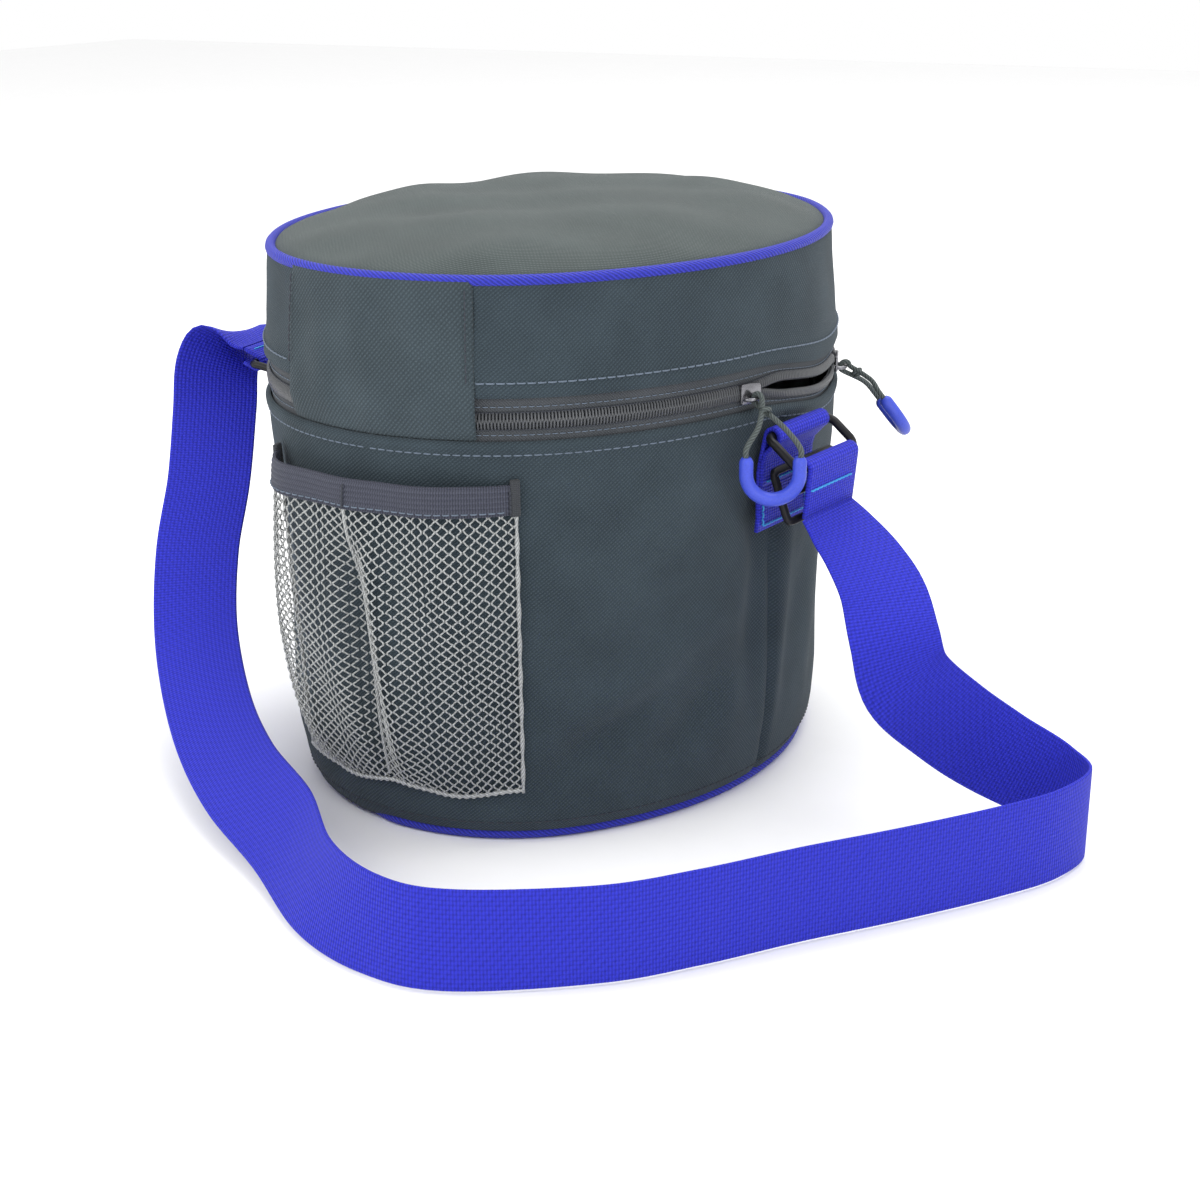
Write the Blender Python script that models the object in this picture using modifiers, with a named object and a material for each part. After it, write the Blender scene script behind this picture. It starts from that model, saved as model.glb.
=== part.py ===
"""Insulated cooler bag: oval zipped drum with a hinged lid, mesh pocket and webbing shoulder strap.

Metres, +Z up. The origin is the middle of the flat underside. -Y is the side with the pocket and
the lid's hinge panel, +X is the side of the right strap anchor.
"""
import bpy
import bmesh
import math
import numpy as np
from mathutils import Matrix, Vector

# ---- driving dimensions -------------------------------------------------------------------
HEIGHT = 0.240            # underside to the edge of the top panel
HALF_X = 0.1165           # half width across the strap anchors, at the top
HALF_Y = 0.1410           # half length from the pocket side to the back, at the top
END_RADIUS = 0.1010       # radius of the two end arcs of the oval, at the top
RIM_Z = 0.176             # upper lip of the body
LID_Z = 0.188             # lower hem of the lid
GAP = 0.0003              # clearance between pieces that touch
FABRIC = 0.0012           # outer fabric
FOAM = 0.0060             # insulation foam
LINER = 0.0008            # wipe-clean inner liner
SEGMENTS = 40             # steps round the oval

BODY_PROFILE = [(0.0056, -0.0078), (0.012, -0.0050), (0.030, -0.0030), (0.075, 0.0000),
                (0.125, 0.0030), (RIM_Z, 0.0050)]     # height, distance outside the top outline
LID_PROFILE = [(LID_Z, 0.0056), (0.212, 0.0040), (0.2360, 0.0014)]
FOAM_OUT = 0.0030         # foam's outer face behind the fabric's outer face
LINER_OUT = FOAM_OUT + FOAM + GAP
CROWN = 0.0130            # rise of the soft top panel
PIPING_R = 0.0024

HINGE_HALF_DEG = 25.0     # half width of the hinge panel, as a turn of the outline's normal
HINGE_Y = -0.1475         # fold line of the lid
HINGE_Z = RIM_Z + 0.0006
ZIP_START_DEG = -90.0 + HINGE_HALF_DEG + 1.0
ZIP_END_DEG = 270.0 - HINGE_HALF_DEG - 1.0
ZIP_OFFSET = 0.0029       # middle of the coil outside the top outline
COIL_HALF = 0.00075
LOWER_COIL_Z = 0.1811
UPPER_COIL_Z = 0.1841
TAPE = 0.0007

SAG = 0.0080              # the zip line droops beside the right anchor
SAG_DEG = (-14.0, 12.0, 45.0, 95.0)     # where the droop starts, is full, ends being full, is gone
SLIDER_DEG = (-14.5, 21.5)      # normal angles of the two sliders
SLIDER_LENGTH = 0.0110
SLIDER_HEIGHT = 0.0090
BRIDGE_OUT = 0.0040             # bridge bar's middle in front of the slider's face
BRIDGE_R = 0.0007
PULL_CORD_R = 0.0011
GRIP_R = 0.0029
GRIP_WIDTH = 0.0200             # between the middles of a grip's two ends

WEBBING = 0.0400          # strap width
WEB_T = 0.0015            # strap thickness
RING_BAR_R = 0.0020
RING_HALF_Y = 0.0240      # middle of the ring's side bars
RING_DROP = 0.0188        # distance between the ring's two long bars
ANCHOR_DEG = 6.5          # anchors sit this far towards the pocket side of the X axis
ANCHOR_BAR_OUT = 0.0125   # ring's inner bar outside the top outline
ANCHOR_BAR_Z = 0.1665
RING_SLOPE_DEG = -38.0
LEFT_RING_SLOPE_DEG = 10.0      # the strap lifts the left ring
RIGHT_PULL_DEG = -96.0          # way the folded strap ends point from their rings
LEFT_PULL_DEG = 25.0
STRAP_LEAD = 0.0070             # the free strap starts straight for this far
TRIGLIDE = ((0.0142, 0.1560), (0.0246, 0.1290))         # its top and bottom edges, (outward, z)

POCKET_HALF_DEG = 33.0
POCKET_TOP_Z = 0.1600
POCKET_BOTTOM_Z = 0.0240
ELASTIC_H = 0.0110

COLOURS = {
    "fabric": ((0.085, 0.110, 0.115), 0.85, 0.0),
    "piping": ((0.030, 0.050, 0.520), 0.70, 0.0),
    "foam": ((0.80, 0.80, 0.78), 0.90, 0.0),
    "liner": ((0.55, 0.57, 0.58), 0.35, 0.0),
    "binding": ((0.060, 0.065, 0.070), 0.80, 0.0),
    "zip_tape": ((0.110, 0.105, 0.098), 0.80, 0.0),
    "zip_coil": ((0.085, 0.080, 0.075), 0.45, 0.0),
    "slider": ((0.120, 0.115, 0.110), 0.35, 1.0),
    "pull_cord": ((0.070, 0.085, 0.080), 0.75, 0.0),
    "grip": ((0.055, 0.085, 0.620), 0.45, 0.0),
    "webbing": ((0.035, 0.045, 0.500), 0.65, 0.0),
    "ring": ((0.015, 0.015, 0.017), 0.40, 0.0),
    "mesh": ((0.350, 0.360, 0.350), 0.60, 0.0),
    "elastic": ((0.075, 0.080, 0.100), 0.80, 0.0),
}

# ---- scene set-up ---------------------------------------------------------------------------
for old in list(bpy.data.objects):
    bpy.data.objects.remove(old, do_unlink=True)
PARTS = bpy.data.collections.new("cooler_bag")
CUTTERS = bpy.data.collections.new("cutters")
for collection in (PARTS, CUTTERS):
    bpy.context.scene.collection.children.link(collection)


def material(name):
    """The named finish, made once."""
    if name in bpy.data.materials:
        return bpy.data.materials[name]
    colour, roughness, metallic = COLOURS[name]
    made = bpy.data.materials.new(name)
    made.use_nodes = True
    shader = made.node_tree.nodes["Principled BSDF"]
    shader.inputs["Base Color"].default_value = (*colour, 1.0)
    shader.inputs["Roughness"].default_value = roughness
    shader.inputs["Metallic"].default_value = metallic
    return made


def place(name, mesh, finish, parent=None):
    """A named part in the collection; with a parent its geometry is moved to the parent's origin."""
    part = bpy.data.objects.new(name, mesh)
    PARTS.objects.link(part)
    mesh.materials.clear()
    mesh.materials.append(material(finish))
    mesh.shade_smooth()
    mesh.set_sharp_from_angle(angle=math.radians(35))
    if parent is not None:
        mesh.transform(Matrix.Translation(-parent.location))
        part.parent = parent
    return part


def pivot(name, location):
    """An empty on a joint's axis, which carries a moving body."""
    empty = bpy.data.objects.new(name, None)
    empty.location = location
    empty.empty_display_size = 0.01
    PARTS.objects.link(empty)
    return empty


# ---- the oval outline -----------------------------------------------------------------------
SIDE_RADIUS = ((HALF_X ** 2 + (HALF_Y - END_RADIUS) ** 2 - END_RADIUS ** 2)
               / (2 * (HALF_X - END_RADIUS)))
SIDE_CENTRE_X = SIDE_RADIUS - HALF_X        # the +X arc is centred at -SIDE_CENTRE_X
END_CENTRE_Y = HALF_Y - END_RADIUS
JOIN_ANGLE = math.atan2(END_CENTRE_Y, SIDE_CENTRE_X)


def oval(degrees, offset=0.0):
    """Point of the four-arc oval whose outward normal has this angle."""
    angle = math.radians(degrees)
    cos_a, sin_a = math.cos(angle), math.sin(angle)
    if abs(cos_a) > math.cos(JOIN_ANGLE):
        radius = SIDE_RADIUS + offset
        return radius * cos_a - math.copysign(SIDE_CENTRE_X, cos_a), radius * sin_a
    radius = END_RADIUS + offset
    return radius * cos_a, radius * sin_a + math.copysign(END_CENTRE_Y, sin_a)


def profile_offset(profile, z):
    """Distance outside the top outline at a height, read along a profile."""
    return float(np.interp(z, [point[0] for point in profile], [point[1] for point in profile]))


def droop(degrees):
    """How far the zip line hangs below its level at this angle."""
    turn = (degrees + 180.0) % 360.0 - 180.0
    start, full, leaving, gone = SAG_DEG
    share = min((turn - start) / (full - start), (gone - turn) / (gone - leaving))
    share = min(1.0, max(0.0, share))
    return SAG * share * share * (3.0 - 2.0 * share)


def body_offset(z):
    return profile_offset(BODY_PROFILE, z)


def lid_offset(z):
    return profile_offset(LID_PROFILE, z)


# ---- kinds of piece -------------------------------------------------------------------------
def grid_mesh(name, rows, closed, cap=None):
    """Mesh over rows of points; closed joins each row's ends, cap closes the last row."""
    mesh = bpy.data.meshes.new(name)
    work = bmesh.new()
    grid = [[work.verts.new(point) for point in row] for row in rows]
    count = len(rows[0])
    steps = count if closed else count - 1
    for low, high in zip(grid, grid[1:]):
        for i in range(steps):
            j = (i + 1) % count
            work.faces.new((low[i], low[j], high[j], high[i]))
    if cap == "point":
        middle = work.verts.new(sum((v.co for v in grid[-1]), Vector()) / count)
        for i in range(count):
            work.faces.new((grid[-1][i], grid[-1][(i + 1) % count], middle))
    work.to_mesh(mesh)
    work.free()
    return mesh


def thicken(part, thickness, side):
    """Solidify: side -1 grows inward from the outer face, +1 grows outward, 0 both ways."""
    shell = part.modifiers.new("thickness", "SOLIDIFY")
    shell.thickness = thickness
    shell.offset = side
    shell.use_even_offset = True


def row(angles, z, offset, drooping=0.0):
    """One level of an oval wall; drooping is the share of the zip line's droop that it follows."""
    return [(*oval(angle, offset), z - drooping * droop(angle)) for angle in angles]


def full_turn(steps=SEGMENTS):
    return [360.0 * i / steps for i in range(steps)]


def arc(start, end, steps):
    return [start + (end - start) * i / steps for i in range(steps + 1)]


def wall(name, levels, offset, thickness, finish, angles=None, parent=None, shares=None):
    """Upright skin of the oval; offset(z) is its outer face, shares the droop of each level."""
    closed = angles is None
    angles = full_turn() if closed else angles
    shares = shares or [0.0] * len(levels)
    rows = [row(angles, z, offset(z), share) for z, share in zip(levels, shares)]
    part = place(name, grid_mesh(name, rows, closed), finish, parent)
    thicken(part, thickness, -1)
    return part


def dome_z(edge_z, share):
    """Height of the crowned top at a share of the way out from its middle."""
    return edge_z + CROWN * (1.0 - share ** 2)


def dome(name, edge_z, edge_offset, thickness, finish, parent, skirt=()):
    """Crowned disc, with rows of a side wall below it where skirt lists (z, offset) levels."""
    angles = full_turn()
    rows = [row(angles, z, offset) for z, offset in skirt]
    edge = [Vector((*oval(angle, edge_offset), 0.0)) for angle in angles]
    edge_share = edge[0].x / HALF_X
    for share in (1.0, 0.72, 0.38):
        z = dome_z(edge_z, share * edge_share)
        rows.append([(point.x * share, point.y * share, z) for point in edge])
    part = place(name, grid_mesh(name, rows, True, cap="point"), finish, parent)
    thicken(part, thickness, -1)
    return part


def slab(name, low, high, offset, finish, hole_offset=None, parent=None):
    """Level plate with the oval outline, or a flat ring where it has a hole."""
    loops = [[oval(angle, offset) for angle in full_turn()]]
    if hole_offset is not None:
        loops.append([oval(angle, hole_offset) for angle in full_turn()])
    return plate(name, loops, high - low, (0, 0, (low + high) / 2), (1, 0, 0), (0, 1, 0),
                 finish, parent)


def plate(name, loops, thickness, origin, x_axis, y_axis, finish, parent=None):
    """Flat outline, with holes, given thickness either way of the plane of x_axis and y_axis."""
    outline = bpy.data.curves.new(name, "CURVE")
    outline.dimensions = "2D"
    outline.fill_mode = "BOTH"
    outline.extrude = thickness / 2
    for loop in loops:
        spline = outline.splines.new("POLY")
        spline.points.add(len(loop) - 1)
        for point, (x, y) in zip(spline.points, loop):
            point.co = (x, y, 0.0, 1.0)
        spline.use_cyclic_u = True
    x_axis = Vector(x_axis).normalized()
    y_axis = Vector(y_axis).normalized()
    frame = Matrix((x_axis, y_axis, x_axis.cross(y_axis))).transposed().to_4x4()
    frame.translation = Vector(origin) - (parent.location if parent else Vector())
    part = bpy.data.objects.new(name, outline)
    PARTS.objects.link(part)
    outline.materials.append(material(finish))
    part.parent = parent
    part.matrix_local = frame
    return part


def tube(name, points, radius, finish, parent=None, closed=False, sides=2):
    """Round wire, cord or bar along its points."""
    line = bpy.data.curves.new(name, "CURVE")
    line.dimensions = "3D"
    line.bevel_depth = radius
    line.bevel_resolution = sides
    line.use_fill_caps = not closed
    spline = line.splines.new("POLY")
    spline.points.add(len(points) - 1)
    for point, place_at in zip(spline.points, points):
        point.co = (*place_at, 1.0)
    spline.use_cyclic_u = closed
    line.materials.append(material(finish))
    part = bpy.data.objects.new(name, line)
    PARTS.objects.link(part)
    if parent is not None:
        line.transform(Matrix.Translation(-parent.location))
        part.parent = parent
    return part


def smooth_path(points, spacing):
    """Evenly spaced points on a Catmull-Rom curve through the given ones."""
    points = [Vector(point) for point in points]
    ends = [2 * points[0] - points[1]] + points + [2 * points[-1] - points[-2]]
    dense = []
    for p0, p1, p2, p3 in zip(ends, ends[1:], ends[2:], ends[3:]):
        for i in range(12):
            t = i / 12
            dense.append(0.5 * (2 * p1 + (p2 - p0) * t + (2 * p0 - 5 * p1 + 4 * p2 - p3) * t ** 2
                                + (3 * p1 - p0 - 3 * p2 + p3) * t ** 3))
    dense.append(points[-1])
    lengths = np.concatenate([[0.0], np.cumsum([(b - a).length for a, b in zip(dense, dense[1:])])])
    wanted = np.linspace(0.0, lengths[-1], max(2, round(lengths[-1] / spacing) + 1))
    return [Vector([np.interp(s, lengths, [p[k] for p in dense]) for k in range(3)])
            for s in wanted]


def as_mesh(part, collection):
    """The same piece as a plain welded mesh object in a collection."""
    bpy.context.view_layer.update()
    shape = part.evaluated_get(bpy.context.evaluated_depsgraph_get())
    mesh = bpy.data.meshes.new_from_object(shape)
    work = bmesh.new()
    work.from_mesh(mesh)
    bmesh.ops.remove_doubles(work, verts=work.verts, dist=1e-6)
    work.to_mesh(mesh)
    work.free()
    name, parent, matrix = part.name, part.parent, part.matrix_local.copy()
    bpy.data.objects.remove(part, do_unlink=True)
    solid = bpy.data.objects.new(name, mesh)
    collection.objects.link(solid)
    solid.parent = parent
    solid.matrix_local = matrix
    return solid


def joined(part, extra):
    """Union of a part with a second solid, which stays as a hidden guide."""
    body = as_mesh(part, PARTS)
    guide = as_mesh(extra, CUTTERS)
    guide.hide_render = True
    guide.display_type = "WIRE"
    union = body.modifiers.new("union", "BOOLEAN")
    union.operation = "UNION"
    union.object = guide
    return body


def ribbon(name, stations, thickness, finish, parent=None):
    """Flat strap: stations are (middle, direction of the half width) pairs."""
    left = [middle - half for middle, half in stations]
    right = [middle + half for middle, half in stations]
    part = place(name, grid_mesh(name, [left, right], False), finish, parent)
    thicken(part, thickness, 0)
    return part


# ---- body: outer skin, foam, liner ----------------------------------------------------------
def make_body():
    levels = [point[0] for point in BODY_PROFILE]
    shares = [0.0, 0.0, 0.0, 0.3, 0.7, 1.0]
    seam = 0.15
    wall("pocket_side_panel", levels, body_offset, FABRIC, "fabric",
         arc(-180 + seam, -seam, SEGMENTS // 2), shares=shares)
    wall("back_panel", levels, body_offset, FABRIC, "fabric",
         arc(seam, 180 - seam, SEGMENTS // 2), shares=shares)
    slab("bottom_panel", 0.0, FABRIC, -0.0102, "fabric")
    tube("bottom_piping", row(full_turn(), 0.0027, -0.0074), PIPING_R, "piping", closed=True,
         sides=1)
    foam_low = 0.0080
    foam_top = RIM_Z - SAG - 0.0050
    wall("wall_foam", [foam_low, 0.030, 0.075, 0.125, foam_top],
         lambda z: body_offset(z) - FOAM_OUT, FOAM, "foam")
    slab("base_foam", FABRIC + GAP, foam_low - 0.0004, -0.0125, "foam")
    liner_rows = [row(full_turn(), z, body_offset(z) - LINER_OUT)
                  for z in (foam_low, 0.030, 0.075, 0.125, foam_top)]
    liner_rows = [list(reversed(level)) for level in reversed(liner_rows)]
    liner = place("liner_tub", grid_mesh("liner_tub", liner_rows, True, cap="point"), "liner")
    thicken(liner, LINER, -1)
    rim_offset = body_offset(foam_top)
    slab("rim_binding", foam_top + 0.0004, foam_top + 0.0034, rim_offset - FOAM_OUT, "binding",
         rim_offset - LINER_OUT - 0.0012)


# ---- lid ------------------------------------------------------------------------------------
def make_lid(lid):
    levels = [point[0] for point in LID_PROFILE]
    seam = 0.15
    wall("lid_side_band", levels, lid_offset, FABRIC, "fabric",
         arc(-90 + HINGE_HALF_DEG + seam, 270 - HINGE_HALF_DEG - seam, SEGMENTS - 6), lid,
         [1.0, 0.4, 0.0])
    wall("hinge_panel", [HINGE_Z + GAP] + levels, lid_offset, FABRIC, "fabric",
         arc(-90 - HINGE_HALF_DEG + seam, -90 + HINGE_HALF_DEG - seam, 10), lid)
    edge_z = HEIGHT - 0.0005
    dome("lid_top_panel", edge_z, -0.0031, FABRIC, "fabric", lid)
    tube("top_piping", row(full_turn(), HEIGHT - 0.0012, -0.0002), PIPING_R, "piping", lid, closed=True,
         sides=1)
    foam_z = edge_z - FABRIC - 0.0004
    dome("lid_top_foam", foam_z, -0.0036, 0.0050, "foam", lid)
    wall("lid_side_foam", [0.1945, 0.212, 0.2318], lambda z: lid_offset(z) - FOAM_OUT, FOAM,
         "foam", parent=lid)
    liner_z = foam_z - 0.0050 - 0.0004
    dome("lid_liner", liner_z, lid_offset(0.2308) - LINER_OUT - 0.0012, LINER, "liner", lid,
         skirt=[(z, lid_offset(z) - LINER_OUT) for z in (0.1925, 0.212, 0.2308)])
    hem_offset = 0.0043
    slab("lid_binding", 0.1890, 0.1920, hem_offset - FOAM_OUT, "binding",
         hem_offset - LINER_OUT - 0.0012, lid)


# ---- zip ------------------------------------------------------------------------------------
def make_zip(lid):
    slid = math.degrees(JOIN_ANGLE)       # fine steps on the arc that the sliders run along
    angles = (arc(ZIP_START_DEG, -slid, 3)[:-1] + arc(-slid, slid, 30)
              + arc(slid, ZIP_END_DEG, 24)[1:])
    tape_out = ZIP_OFFSET + 0.0001
    tape_gap = COIL_HALF + GAP
    wall("zip_tape_lower", [0.1700, LOWER_COIL_Z - tape_gap], lambda z: tape_out, TAPE, "zip_tape",
         angles, shares=[1.0, 1.0])
    tube("zip_coil_lower", row(angles, LOWER_COIL_Z, ZIP_OFFSET, 1.0), COIL_HALF, "zip_coil",
         sides=0)
    wall("zip_tape_upper", [UPPER_COIL_Z + tape_gap, 0.1930], lambda z: tape_out, TAPE, "zip_tape",
         angles, lid, [1.0, 1.0])
    tube("zip_coil_upper", row(angles, UPPER_COIL_Z, ZIP_OFFSET, 1.0), COIL_HALF, "zip_coil", lid,
         sides=0)


def make_slider(number, degrees):
    """Slider body with its bridge, on a pivot at the middle of the side arc it runs along."""
    name = f"slider_{number}"
    carrier = pivot(name + "_travel", (-SIDE_CENTRE_X, 0.0, 0.0))
    normal = Vector((math.cos(math.radians(degrees)), math.sin(math.radians(degrees)), 0.0))
    along = Vector((-normal.y, normal.x, 0.0))
    middle_z = (LOWER_COIL_Z + UPPER_COIL_Z) / 2 - droop(degrees)
    at = Vector((*oval(degrees, ZIP_OFFSET), middle_z))
    inner, outer = -0.0011, 0.0011          # faces that look at the coil
    back, front = -0.0021, 0.0025           # faces that look away
    half, neck = SLIDER_HEIGHT / 2, 0.00035
    section = [(back, -half), (inner, -half), (inner, -neck), (outer, -neck), (outer, -half),
               (front, -half), (front, half), (outer, half), (outer, neck), (inner, neck),
               (inner, half), (back, half)]
    body = plate(name + "_body", [section], SLIDER_LENGTH, at, normal, (0, 0, 1), "slider",
                 carrier)
    bar = at + normal * (front + BRIDGE_OUT)
    foot = at + normal * (front - 0.0006)
    arch = [foot - along * 0.0040, bar - along * 0.0034 - normal * 0.0008, bar - along * 0.0024,
            bar + along * 0.0024, bar + along * 0.0034 - normal * 0.0008, foot + along * 0.0040]
    bridge = tube(name + "_bridge", arch, BRIDGE_R, "slider", carrier)
    joined(body, bridge)
    return bar, normal, along


def make_pull(number, bar, normal, along, side, reach, drop, lean):
    """Cord looped round the slider's bridge, with a moulded U-shaped grip on its two ends.

    side points along the grip's width, reach and drop place the grip's ends outward and down
    from the bridge, and lean tips the grip outward.
    """
    name = f"pull_{number}"
    swing = pivot(name + "_swing", bar)
    down = Vector((0, 0, -1.0))
    wrap = BRIDGE_R + PULL_CORD_R + 0.0003
    grip_top = bar + normal * reach[0] + along * reach[1] + down * drop
    tip = (down * math.cos(lean) + normal * math.sin(lean)).normalized()
    ends = [grip_top - side * (GRIP_WIDTH / 2), grip_top + side * (GRIP_WIDTH / 2)]
    loop = [bar + (normal * math.cos(a) - down * math.sin(a)) * wrap
            for a in (math.radians(d) for d in (0, 45, 90, 135, 180))]
    out_leg = [ends[0] - tip * 0.0003,
               ends[0] - tip * 0.004,
               loop[0].lerp(ends[0], 0.55) + normal * 0.0025 - tip * 0.002,
               loop[0].lerp(ends[0], 0.16) + normal * 0.0014]
    in_leg = [loop[-1] + down * 0.0020 + normal * 0.0007,
              loop[-1].lerp(ends[1], 0.55) + normal * 0.0020 - tip * 0.002,
              ends[1] - tip * 0.004,
              ends[1] - tip * 0.0003]
    tube(name + "_cord", smooth_path(out_leg + loop + in_leg, 0.0016), PULL_CORD_R, "pull_cord",
         swing, sides=1)
    radius = GRIP_WIDTH / 2
    bend = [grip_top + tip * 0.010 - side * radius * math.cos(a) + tip * radius * math.sin(a)
            for a in (math.pi * i / 12 for i in range(13))]
    tube(name + "_grip", [ends[0]] + bend + [ends[1]], GRIP_R, "grip", swing)


# ---- pocket ---------------------------------------------------------------------------------
def pocket_bulge(share, z):
    """How far the mesh stands off the wall; share runs -1 to 1 across the pocket."""
    rise = math.sin(math.pi * min(1.0, max(0.0, (z - POCKET_BOTTOM_Z) / 0.170)) ** 0.8)
    return 0.0004 + 0.0125 * (1.0 - share ** 2) * max(0.0, rise)


def pocket_rows(levels):
    shares = arc(-1.0, 1.0, 10)
    return [[(*oval(-90 + share * POCKET_HALF_DEG, body_offset(z) + pocket_bulge(share, z)), z)
             for share in shares] for z in levels]


def make_pocket():
    elastic_low = POCKET_TOP_Z - ELASTIC_H
    levels = arc(POCKET_BOTTOM_Z, elastic_low - GAP, 6)
    net = place("pocket_mesh", grid_mesh("pocket_mesh", pocket_rows(levels), False), "mesh")
    thicken(net, 0.0010, 1)
    band = place("pocket_elastic", grid_mesh("pocket_elastic",
                 pocket_rows([elastic_low, POCKET_TOP_Z]), False), "elastic")
    thicken(band, 0.0014, 1)


# ---- strap anchors --------------------------------------------------------------------------
class Anchor:
    """Frame of one strap anchor: distances outward from the outline, along it, and up."""

    def __init__(self, side_name, degrees):
        self.name = side_name
        self.root = Vector((*oval(degrees), 0.0))
        self.out = Vector((math.cos(math.radians(degrees)), math.sin(math.radians(degrees)), 0.0))
        self.along = Vector((-self.out.y, self.out.x, 0.0))
        self.swing = pivot(f"ring_{side_name}_swing", self.at(ANCHOR_BAR_OUT, ANCHOR_BAR_Z))

    def at(self, out, z, along=0.0):
        return self.root + self.out * out + self.along * along + Vector((0, 0, z))

    def section(self, name, loops, width, finish, parent=None):
        """Outline in the outward-upward plane, given width along the wall."""
        return plate(name, loops, width, self.root, self.out, (0, 0, 1), finish, parent)


def make_tab(anchor):
    """Webbing tab sewn on the wall and looped round the ring's inner bar."""
    bar_out, bar_z = ANCHOR_BAR_OUT, ANCHOR_BAR_Z
    wall_out = body_offset(bar_z) + 0.0006
    curl = 0.0013                   # the wall bends away behind the flat tab's middle
    low_z, join_z = 0.1240, bar_z - 0.0120
    inner, outer = RING_BAR_R + 0.0004, RING_BAR_R + 0.0004 + WEB_T
    outline = [(wall_out - curl, low_z), (wall_out, join_z)]
    outline += [(max(wall_out, bar_out + outer * math.cos(a)), bar_z + outer * math.sin(a))
                for a in (math.radians(d) for d in range(165, -61, -15))]
    outline += [(wall_out + 0.0030, join_z + 0.0030), (wall_out + 0.0030, join_z),
                (wall_out + WEB_T, join_z - 0.0006), (wall_out + WEB_T - curl, low_z)]
    hole = [(bar_out + inner * math.cos(a), bar_z + inner * math.sin(a))
            for a in (math.radians(d) for d in range(0, 360, 30))]
    anchor.section(f"anchor_tab_{anchor.name}", [outline, hole], WEBBING, "webbing")


def make_ring(anchor, slope_deg):
    """Moulded rectangular ring; returns the place of its outer bar as (outward, z)."""
    slope = math.radians(slope_deg)
    corner = 0.0035
    path = []
    for run, side, start in ((RING_DROP - corner, RING_HALF_Y - corner, 0),
                             (corner, RING_HALF_Y - corner, 90),
                             (corner, corner - RING_HALF_Y, 180),
                             (RING_DROP - corner, corner - RING_HALF_Y, 270)):
        for step in range(4):
            a = math.radians(start + 30 * step)
            reach = run + corner * math.cos(a)
            path.append(anchor.at(ANCHOR_BAR_OUT + reach * math.cos(slope),
                                  ANCHOR_BAR_Z + reach * math.sin(slope),
                                  side + corner * math.sin(a)))
    tube(f"ring_{anchor.name}", path, RING_BAR_R, "ring", anchor.swing, closed=True)
    return (ANCHOR_BAR_OUT + RING_DROP * math.cos(slope),
            ANCHOR_BAR_Z + RING_DROP * math.sin(slope))


def make_strap_end(anchor, bar, pull_deg, long_leg, short_leg):
    """Strap folded over the ring's outer bar; returns the first stations of the free strap."""
    radius = RING_BAR_R + 0.0004 + WEB_T / 2
    pull = Vector((math.cos(math.radians(pull_deg)), math.sin(math.radians(pull_deg))))
    fold = [Vector(bar) + Vector((math.cos(a), math.sin(a))) * radius
            for a in (math.radians(pull_deg + d) for d in range(90, 271, 20))]
    points = [fold[0] + pull * long_leg, fold[0] + pull * long_leg / 2] + fold
    points += [fold[-1] + pull * short_leg / 2, fold[-1] + pull * short_leg]
    sides = []
    for i, point in enumerate(points):
        run = points[min(i + 1, len(points) - 1)] - points[max(i - 1, 0)]
        sides.append(Vector((-run.y, run.x)).normalized() * WEB_T / 2)
    outline = [point + side for point, side in zip(points, sides)]
    outline += [point - side for point, side in reversed(list(zip(points, sides)))]
    anchor.section(f"strap_end_{anchor.name}", [[(p.x, p.y) for p in outline]],
                   WEBBING - 0.0010, "webbing", anchor.swing)
    end, lead = points[0] + pull * 2 * GAP, points[0] + pull * STRAP_LEAD
    return [(anchor.at(point.x, point.y), anchor.along) for point in (end, lead)]


def make_triglide(anchor, top, bottom):
    """Strap adjuster: a flat frame with a middle bar, behind the folded strap end."""
    half_w, half_h, rim, bar_half = 0.0250, 0.0125, 0.0032, 0.0018
    window = (half_h - rim - bar_half) / 2
    low = [(x, y - bar_half - window) for x, y in rounded_box(half_w - rim, window, 0.0012)]
    high = [(x, y + bar_half + window) for x, y in rounded_box(half_w - rim, window, 0.0012)]
    top, bottom = anchor.at(*top), anchor.at(*bottom)
    plate("triglide", [rounded_box(half_w, half_h, 0.004), low, high], 0.0024,
          (top + bottom) / 2, anchor.along, top - bottom, "ring", anchor.swing)


def rounded_box(half_x, half_y, radius):
    """Outline of a rectangle with round corners."""
    points = []
    for cx, cy, start in ((half_x - radius, half_y - radius, 0),
                          (radius - half_x, half_y - radius, 90),
                          (radius - half_x, radius - half_y, 180),
                          (half_x - radius, radius - half_y, 270)):
        for step in range(4):
            a = math.radians(start + 30 * step)
            points.append((cx + radius * math.cos(a), cy + radius * math.sin(a)))
    return points


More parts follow.
